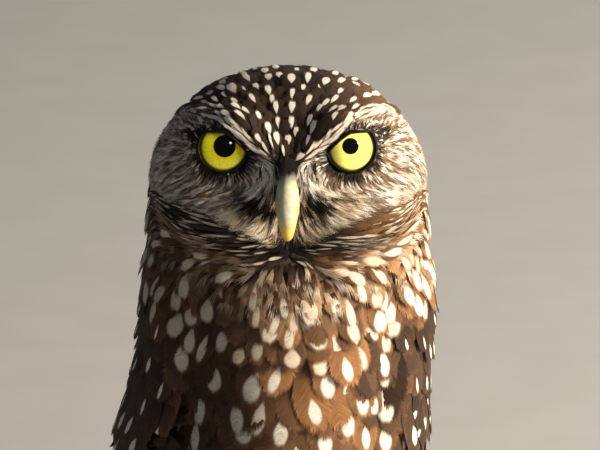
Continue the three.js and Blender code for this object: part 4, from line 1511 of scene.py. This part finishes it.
def tail_bars(count, rng):
    return looks(count, DARK * 1.7, rng, mark=BUFF * 1.1, edge=0.3, bars=6, bar_reach=0.85, vary=0.05)


def tail_coverts(count, rng):
    return looks(count, BROWN * 0.8, rng, mark=WHITE, edge=0.4, spot_amount=0.9, spot_wide=0.35)


length = float(np.linalg.norm(TAIL_TIP - TAIL_ROOT))
# name, count, run from and to, spread at root and tip, lift and width, then marks, form and seed
tail_tier("tail_feathers", 12, 6, length, 0.9, 3.5, 2.2, 12.5, tail_bars, "flight", 81)
tail_tier("tail_coverts", 9, 4, length * 0.55, 2.0, 3.4, 4.0, 11, tail_coverts, "covert", 82)
tail_tier("tail_coverts_above", 9, -6, length * 0.3, 2.6, 3.6, 5.2, 11, tail_coverts, "covert", 83)

# %% [markdown]
# ## Eyes
# An owl's eye is a pale yellow iris with fine rays round a round black pupil, under a clear wet
# cornea. A sphere with a picture on it would look like a bead, so the ball has a flatter window in
# front and its pattern is measured from the eye's own axis. The cornea bulges but the iris behind it
# is flat: the colour is shaded as a flat disc that faces a little outward, and only the clear coat
# follows the ball.


# %% Eyes
IRIS = 5.9  # its radius
EYE_SPLAY = {"left": math.radians(30), "right": math.radians(12)}  # how far out each iris is shaded
PUPILS = {"left": 2.15, "right": 2.9}  # the left eye is in the sun, so its pupil is smaller
IRIS_SUNLIT_PALE = {"left": 0.35, "right": 0.0}  # and its iris is painted a paler yellow: painted light
CORNEA_RADIUS, CORNEA_FRONT = 12.0, 7.8  # the clear window in front is flatter than the ball
WINDOW_EDGE = (7.2, 6.3)  # radii between which the ball turns into the window


def eye_material(side, centre, pupil):
    """An iris with fine rays round a pupil that looks a little up and inward."""
    way = SIDES[side]
    made, tree, shader = principled(f"iris {side}")
    place = tree.nodes.new("ShaderNodeTexCoord").outputs["Object"]
    level = add(tree, "ShaderNodeMapping", vector_type="TEXTURE", inputs={
        "Vector": place, "Location": centre * MM, "Rotation": (-HEAD_PITCH, 0, 0)})
    right, _, up = parts_of(level.outputs["Vector"])
    x, z = right * (1 / MM), up * (1 / MM)
    far = distance(x, z)
    rays = add(tree, "ShaderNodeTexNoise", noise_dimensions="2D", inputs={
        "Vector": pair(z.maths("ARCTAN2", x) * 9.0, far * 0.5), "Scale": 1.6})
    yellow = blend(tree, far.step(2.0, 4.6), (0.72, 0.62, 0.005, 1), (0.93, 0.86, 0.02, 1))
    yellow = brighten(yellow, Flow(rays.outputs["Fac"]).step(0.3, 0.7, 0.86, 1.12))
    # painted light: the sunlit left iris is mixed towards a pale yellow
    yellow = blend(tree, IRIS_SUNLIT_PALE[side], yellow, (1.0, 0.95, 0.5, 1))
    colour = blend(tree, far.step(IRIS - 0.75, IRIS - 0.1), yellow, (0.16, 0.12, 0.004, 1))
    colour = blend(tree, far.step(IRIS - 0.1, IRIS + 0.3), colour, (0.006, 0.005, 0.004, 1))
    hole = distance(x + 0.33 * way, z - 0.42).step(pupil + 0.12, pupil - 0.12)
    feed(shader.inputs["Base Color"], blend(tree, hole, colour, (0.002, 0.002, 0.002, 1)))
    axis = HEAD_TURN @ np.array([way * math.sin(EYE_SPLAY[side]), -math.cos(EYE_SPLAY[side]), 0])
    flat = add(tree, "ShaderNodeVectorTransform", {"Vector": axis}, vector_type="NORMAL",
               convert_from="OBJECT", convert_to="WORLD")
    feed(shader.inputs["Normal"], flat.outputs["Vector"])
    finish(shader, Roughness=0.3, Specular_IOR_Level=0.0, Coat_Weight=1.0, Coat_Roughness=0.03)
    return made


def eyeball(centre):
    """Points and faces of a ball whose front is a flatter window, in rings round the eye's axis."""
    rows, columns = 40, 64
    turn, fall = np.meshgrid(np.linspace(0, 2 * np.pi, columns, endpoint=False),
                             np.linspace(0.02, np.pi - 0.02, rows))
    reach = EYE_RADIUS * np.sin(fall)
    window = CORNEA_FRONT - CORNEA_RADIUS + np.sqrt(CORNEA_RADIUS ** 2 - reach ** 2)
    depth = mix(EYE_RADIUS * np.cos(fall), window, smooth(*WINDOW_EDGE, reach) * (fall < np.pi / 2))
    ball = np.stack([reach * np.cos(turn), -depth, reach * np.sin(turn)], -1).reshape(-1, 3)
    ends = np.array([[0, -CORNEA_FRONT, 0], [0, EYE_RADIUS, 0]])
    return np.concatenate([ball, ends]) @ HEAD_TURN.T + centre, tube_faces(rows, columns)


for side, centre in EYES.items():
    look = eye_material(side, centre, PUPILS[side])
    eye = turned_out(mesh_object(f"eyeball_{side}", *eyeball(centre), look))
    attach(eye, "root")
    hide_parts("eye_" + side)
    print(eye.name, len(eye.data.polygons), "faces")

# %% [markdown]
# ## Lids
# A thin black lid runs round each eye. It is flat across the top, where the brow presses on it, and
# round below. Cut from the head it would be as coarse as the head, so it is a strip of its own that
# follows the opening on the eyeball and is a little wider at its corners.


# %% Lids
LID_HEIGHT, LID_BULGE = 8.65, 0.6  # how far the strip lies from the eye's middle, and how round it is


def lid(side):
    way = SIDES[side]
    rows, columns = 72, 7
    angle = np.linspace(0, 2 * np.pi, rows, endpoint=False)
    inward, z = lid_outline(angle)
    x = -way * inward
    far = np.hypot(x, z)
    corners, top = smooth(0.4, 1.0, np.abs(np.cos(angle))), smooth(0.2, 0.8, np.sin(angle))
    wide = 0.38 + 0.3 * corners + 0.5 * top
    rings = []
    for k in np.linspace(-0.08, 1.0, columns):
        reach = far + wide * k
        height = LID_HEIGHT + LID_BULGE * math.sin(math.pi * min(1, max(0, k))) ** 0.6 + 0.25 * (k > 0)
        depth = np.sqrt(np.maximum(1, height ** 2 - reach ** 2))
        rings.append(np.stack([x / far * reach, -depth, z / far * reach], -1))
    points = np.stack(rings, 1).reshape(-1, 3) @ HEAD_TURN.T + EYES[side]
    b = np.arange(columns - 1)
    a = b + (rows - 1) * columns
    faces = np.concatenate([grid_faces(rows, columns), np.stack([a, a + 1, b + 1], 1),
                            np.stack([a, b + 1, b], 1)])
    made = mesh_object(f"lid_{side}", points, faces[:, ::-1] if way > 0 else faces, LID)
    thick = made.modifiers.new("Thickness", "SOLIDIFY")
    thick.thickness = 0.4 * MM
    thick.offset = -1
    settle(made)
    return made


for side in SIDES:
    made = lid(side)
    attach(made, "root")
    print(made.name, len(made.data.polygons), "faces")

# %% [markdown]
# ## Bill
# The bill hooks down between the eyes: dark and soft at its base, grey-green along its ridge and
# yellow towards its tip. Its base is darker still with painted shade, from the feathers that hang over
# it, and its nostrils are painted black for the shade inside them. Sculpting would hide its few
# measures, so it is lofted: ellipses strung on a curved path, their widths and depths read off two
# smooth curves. Its colour is painted by where each corner lies, which needs no picture.


# %% Bill
BILL_UPPER = [(-18, -4.8), (-28, -6.4), (-34, -11.4), (-35.4, -18.2), (-33.4, -24)]  # (y, z) of the head
BILL_LOWER = [(-16, -11.5), (-26, -13.4), (-32.8, -18.4)]
BILL_WIDE = along([(0, 3.6), (0.22, 2.1), (0.38, 2.45), (0.52, 2.95), (0.64, 3.1), (0.78, 2.45), (0.9, 1.5),
                   (0.97, 0.7), (1, 0.25)])
BILL_DEEP = along([(0, 3.8), (0.35, 3.5), (0.6, 3.1), (0.8, 2.2), (0.93, 1.1), (1, 0.25)])
NOSTRIL = (2.9, -31.6, -8.2)
HORN_GREEN = np.array([0.46, 0.46, 0.30])
HORN_YELLOW = np.array([0.84, 0.54, 0.09])
HORN_PALE = np.array([0.74, 0.72, 0.55])
HORN_EDGE = np.array([0.58, 0.38, 0.06])
HORN_TIP = np.array([0.42, 0.24, 0.08])
CERE_AND_SHADE = np.array([0.07, 0.065, 0.055])


def horn_colour(x, z):
    """The colour of the bill at x from its middle and height z, by one soft patch after another."""
    colour = np.broadcast_to(HORN_GREEN, (len(x), 3))
    for other, amount in (
            (HORN_YELLOW, smooth(-17.5, -23, z)),
            (HORN_PALE, smooth(1.5, 0.2, x) * smooth(-22, -17, z) * 0.6),  # the ridge
            (HORN_EDGE, smooth(1.6, 2.7, x) * smooth(-11, -16, z) * 0.75),
            (HORN_TIP, smooth(-22.6, -24.4, z) * 0.7),
            # the base: the cere's own dark colour, and painted shade from the feathers over it
            (CERE_AND_SHADE, smooth(-10.5, -6.4, z) * 0.92)):
        colour = tint(colour, other, amount)
    return colour


def bill_half(name, path, sizes, node):
    points, faces = loft(path, sizes, 40, 32)
    x, z = np.abs(points[:, 0]), points[:, 2]
    away = np.hypot(np.hypot(points[:, 1] - NOSTRIL[1], z - NOSTRIL[2]), x - NOSTRIL[0])
    # the nostril is a dent painted black, as painted shade inside the opening
    nostril = smooth(1.5, 0.8, away)
    points[:, 0] -= np.sign(points[:, 0]) * 0.8 * nostril
    colour = tint(horn_colour(x, z), BLACK, nostril) * (0.55 if node == "bill_lower" else 1.0)
    made = turned_out(mesh_object(name, from_head(points), faces, HORN, colour))
    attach(made, "root")
    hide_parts(node)
    print(name, len(made.data.polygons), "faces")
    return made


def upper_size(t):
    return float(BILL_WIDE(t)), float(BILL_DEEP(t))


def lower_size(t):
    return mix(2.6, 0.9, t), mix(2, 0.7, t)


upper_bill = bill_half("upper_bill", BILL_UPPER, upper_size, "bill_upper")
bill_half("lower_bill", BILL_LOWER, lower_size, "bill_lower")

# %% [markdown]
# ## Bristles at the bill's base
# Stiff bristles grow between eye and bill and bend down over the base of the bill, pale outside and
# black inside. They stand free of the skin, so each gets a bent shaft of its own instead of a walk:
# its root and tip are found by looking back at the skin and the bill from in front.


# %% Bristles
def bristle_shafts(roots, tips, bow):
    """Shafts from root to tip in the head's frame, bowed forward in their middle."""
    t = DOWN_SHAFT[None, :, None]
    spot = mix(roots[:, None, :], tips[:, None, :], t)
    spot[..., 1] -= bow[:, None] * np.sin(np.pi * t[..., 0])
    way = unit(np.gradient(spot, axis=1))
    ups = across_surface(np.broadcast_to(np.array([0, -1.0, 0.15]), spot.shape), way)
    return spot @ HEAD_TURN.T + HEAD_AT, np.cross(ups, way) @ HEAD_TURN.T, ups @ HEAD_TURN.T


def front_of(x, z):
    """How far forward the skin or the bill reaches at (x, z) of the head's frame."""
    depth = []
    toward = Vector(HEAD_TURN @ np.array([0, 1.0, 0]))
    for a, b in zip(x, z):
        start = Vector(from_head([a, -60, b]) * MM)
        hits = [surface.ray_cast(start, toward)[0] for surface in (tree, bill_tree)]
        reached = [to_head(np.array(hit)[None] / MM)[0, 1] for hit in hits if hit is not None]
        depth.append(min(reached or [-26.0]))
    return np.array(depth)


bill_tree = skin_tree(upper_bill)
rng = np.random.default_rng(61)
count = 300
aside = np.where(np.arange(count) % 2, 1.0, -1.0)
inner = (np.arange(count) < 110).astype(float)
x0 = aside * mix(2.9 + 5.0 * rng.random(count), 2.8 * rng.random(count), inner)
z0 = mix(-2.6 - 6.8 * rng.random(count), -0.6 - 3.0 * rng.random(count), inner)
roots = np.stack([x0, front_of(x0, z0) + 0.3, z0], 1)
fall = mix(6.5, 4.4, inner) * (0.8 + 0.4 * rng.random(count))
near = smooth(5.2, 3.4, np.abs(x0)) * (1 - inner)
x1 = x0 + aside * (mix(0.9, 0.2, inner) * rng.random(count) - 1.0 * near)
z1 = z0 - fall
tips = np.stack([x1, front_of(x1, z1) - mix(0.6, 0.3, inner), z1], 1)
shafts = bristle_shafts(roots, tips, mix(0.7, 0.6, inner) * (0.7 + 0.6 * rng.random(count)))
dark = np.maximum(inner, some(0.35, count, rng))
look = looks(count, tint(mix(WHITE, BUFF, 0.3), BLACK * 2, dark), rng, vary=0.15)
coat.append(lay("coat_bristles", "plume", shafts, np.full(count, 1.3), (np.zeros(count), np.zeros(count)),
                look, round_head(from_head(roots)), 62, curl=0.0))

# %% [markdown]
# ## Legs, toes and claws
# The shanks carry short sparse feathers, the toes are bare and scaly, and the claws are dark and
# smooth. The solids already have their shape, so copies of them are fused on a fine grid and smoothed,
# which rounds their edges without moving them.


# %% Legs, toes and claws
def softened(name, node, voxel, look, smoothing=4):
    made = copy_of(name, node, 0.05)
    fuse(made, voxel)
    soften(made, smoothing)
    settle(made)
    wear(made, look)
    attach(made, "root")
    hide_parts(node)
    print(name, len(made.data.polygons), "faces")
    return made


def toe_places(made, foot):
    """Stores how far out from the foot's middle each corner lies, and its height, for the scutes."""
    points, _ = arrays_of(made.data)
    run = np.hypot(*(points - foot)[:, :2].T)
    values = np.stack([run, points[:, 2], 0 * run], -1).astype(np.float32)
    made.data.attributes.new("place", "FLOAT_VECTOR", "POINT").data.foreach_set("vector", values.ravel())


def shank_coat(side, shank, points):
    """Sparse hair-like feathers that hang down the shank, longer near the knee, under the thigh's."""
    foot_z, knee_z = points[:, 2].min(), points[:, 2].max()
    rng = np.random.default_rng(90)
    roots, ups = scatter(shank, points[:, 2] > foot_z + 2.5, 0.8, 91)
    cuff = smooth(knee_z - 13, knee_z - 3, roots[:, 2])
    down = np.array([0, 0, -1.0]) + 0.12 * rng.normal(size=(len(roots), 3))
    shafts = tuple(walk(skin_tree(shank), roots, ups, mix(4.2, 9.0, cuff), lambda p: down))
    lifts = (0.05 + 1.2 * cuff, (0.6 + 0.8 * rng.random(len(roots))) * (1 + 2.0 * cuff))
    coat.append(lay(f"coat_shank_{side}", "plume", shafts, mix(1.4, 2.2, cuff), lifts,
                    shank_marks(Where(roots), rng), round_body(roots), 92))


for side in SIDES:
    shank = softened(f"shank_skin_{side}", f"shank_{side}", 0.6, SHANK)
    shank_points, _ = arrays_of(shank.data)
    low = shank_points[:, 2] < shank_points[:, 2].min() + 2
    toes = softened(f"toes_{side}", f"foot_{side}", 0.45, TOE_SKIN)
    toe_places(toes, shank_points[low].mean(0))
    for toe in ("hind", "inner", "middle", "outer"):
        softened(f"nail_{side}_{toe}", f"claw_{side}_{toe}", 0.25, CLAW, 3)
    shank_coat(side, shank, shank_points)

# %% [markdown]
# ## What rides on what
# The bird is one still body, so every piece rides on the root. The skin stands for the flesh, the
# wings and the tail, whose place the finer feathers take.

# %% Rides
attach(skin, "root")
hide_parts("head", "neck", "torso", "thigh_left", "thigh_right", "wing_left", "wing_right", "tail")
for made in coat:
    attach(made, "root")
print("pieces of the coat:", len(coat))

# %% [markdown]
# ## Floor, light and camera
# The floor is plain and pale. A warm key light stands low on the right, as the sun does, and a weak
# cool light from above fills the shade. A rim light from behind parts the crown from the backdrop,
# and a small one near the camera is there for its glint in the wet eyes. The camera looks slightly
# down on the bird from far off.

# %% Floor
floor_points = np.array([[-1500, -1500, 0], [1500, -1500, 0], [-1500, 2500, 0], [1500, 2500, 0]], float)
floor = mesh_object("floor", floor_points, grid_faces(2, 2), FLOOR)
print("floor:", np.ptp(floor_points, axis=0)[:2] * MM, "m")


# %% Lights
def lamp(name, place, energy, size, colour):
    data = bpy.data.lights.new(name, "AREA")
    data.energy, data.size, data.color = energy, size, colour
    made = object_of(name, data)
    made.location = place
    made.rotation_euler = (LIGHT_AIM - Vector(place)).to_track_quat("-Z", "Y").to_euler()
    print("lamp:", name, energy, "W")


LIGHT_AIM = Vector((0.0, 0.0, 0.17))
# name, place, watts, size and colour
lamp("key", (1.22, -0.42, 0.57), 48, 0.36, (1.0, 0.87, 0.70))
lamp("fill", (-0.85, -0.6, 1.75), 2.5, 1.0, (0.74, 0.86, 1.0))
lamp("catch light", (0.5, -1.45, 1.05), 1.5, 0.14, (1.0, 0.98, 0.95))
lamp("rim", (0.9, 0.9, 1.0), 10, 0.7, (1.0, 0.93, 0.82))
world = bpy.data.worlds.new("soft room")
world.use_nodes = True
world.node_tree.nodes["Background"].inputs["Color"].default_value = (0.74, 0.84, 1.0, 1)
world.node_tree.nodes["Background"].inputs["Strength"].default_value = 0.06
bpy.context.scene.world = world
bpy.context.scene.view_settings.view_transform = "Standard"

# %% Camera
CAMERA_RISE = math.radians(18)
CAMERA_FAR = 2.5
FRAME_WIDE = 0.158  # metres seen across the picture at the bird
CAMERA_AIM = Vector((7.2, 0, 166.6)) * MM
camera_data = bpy.data.cameras.new("camera")
camera_data.sensor_width = 36
camera_data.lens = camera_data.sensor_width * CAMERA_FAR / FRAME_WIDE
camera = object_of("camera", camera_data)
toward = Vector((0, -math.cos(CAMERA_RISE), math.sin(CAMERA_RISE)))
camera.location = CAMERA_AIM + toward * CAMERA_FAR
camera.rotation_euler = (-toward).to_track_quat("-Z", "Y").to_euler()
bpy.context.scene.camera = camera
print("lens:", round(camera_data.lens), "mm, from", CAMERA_FAR, "m")

# %% Finish
total = sum(len(o.data.polygons) for o in bpy.data.objects if o.type == "MESH")
print("faces in the scene:", total)
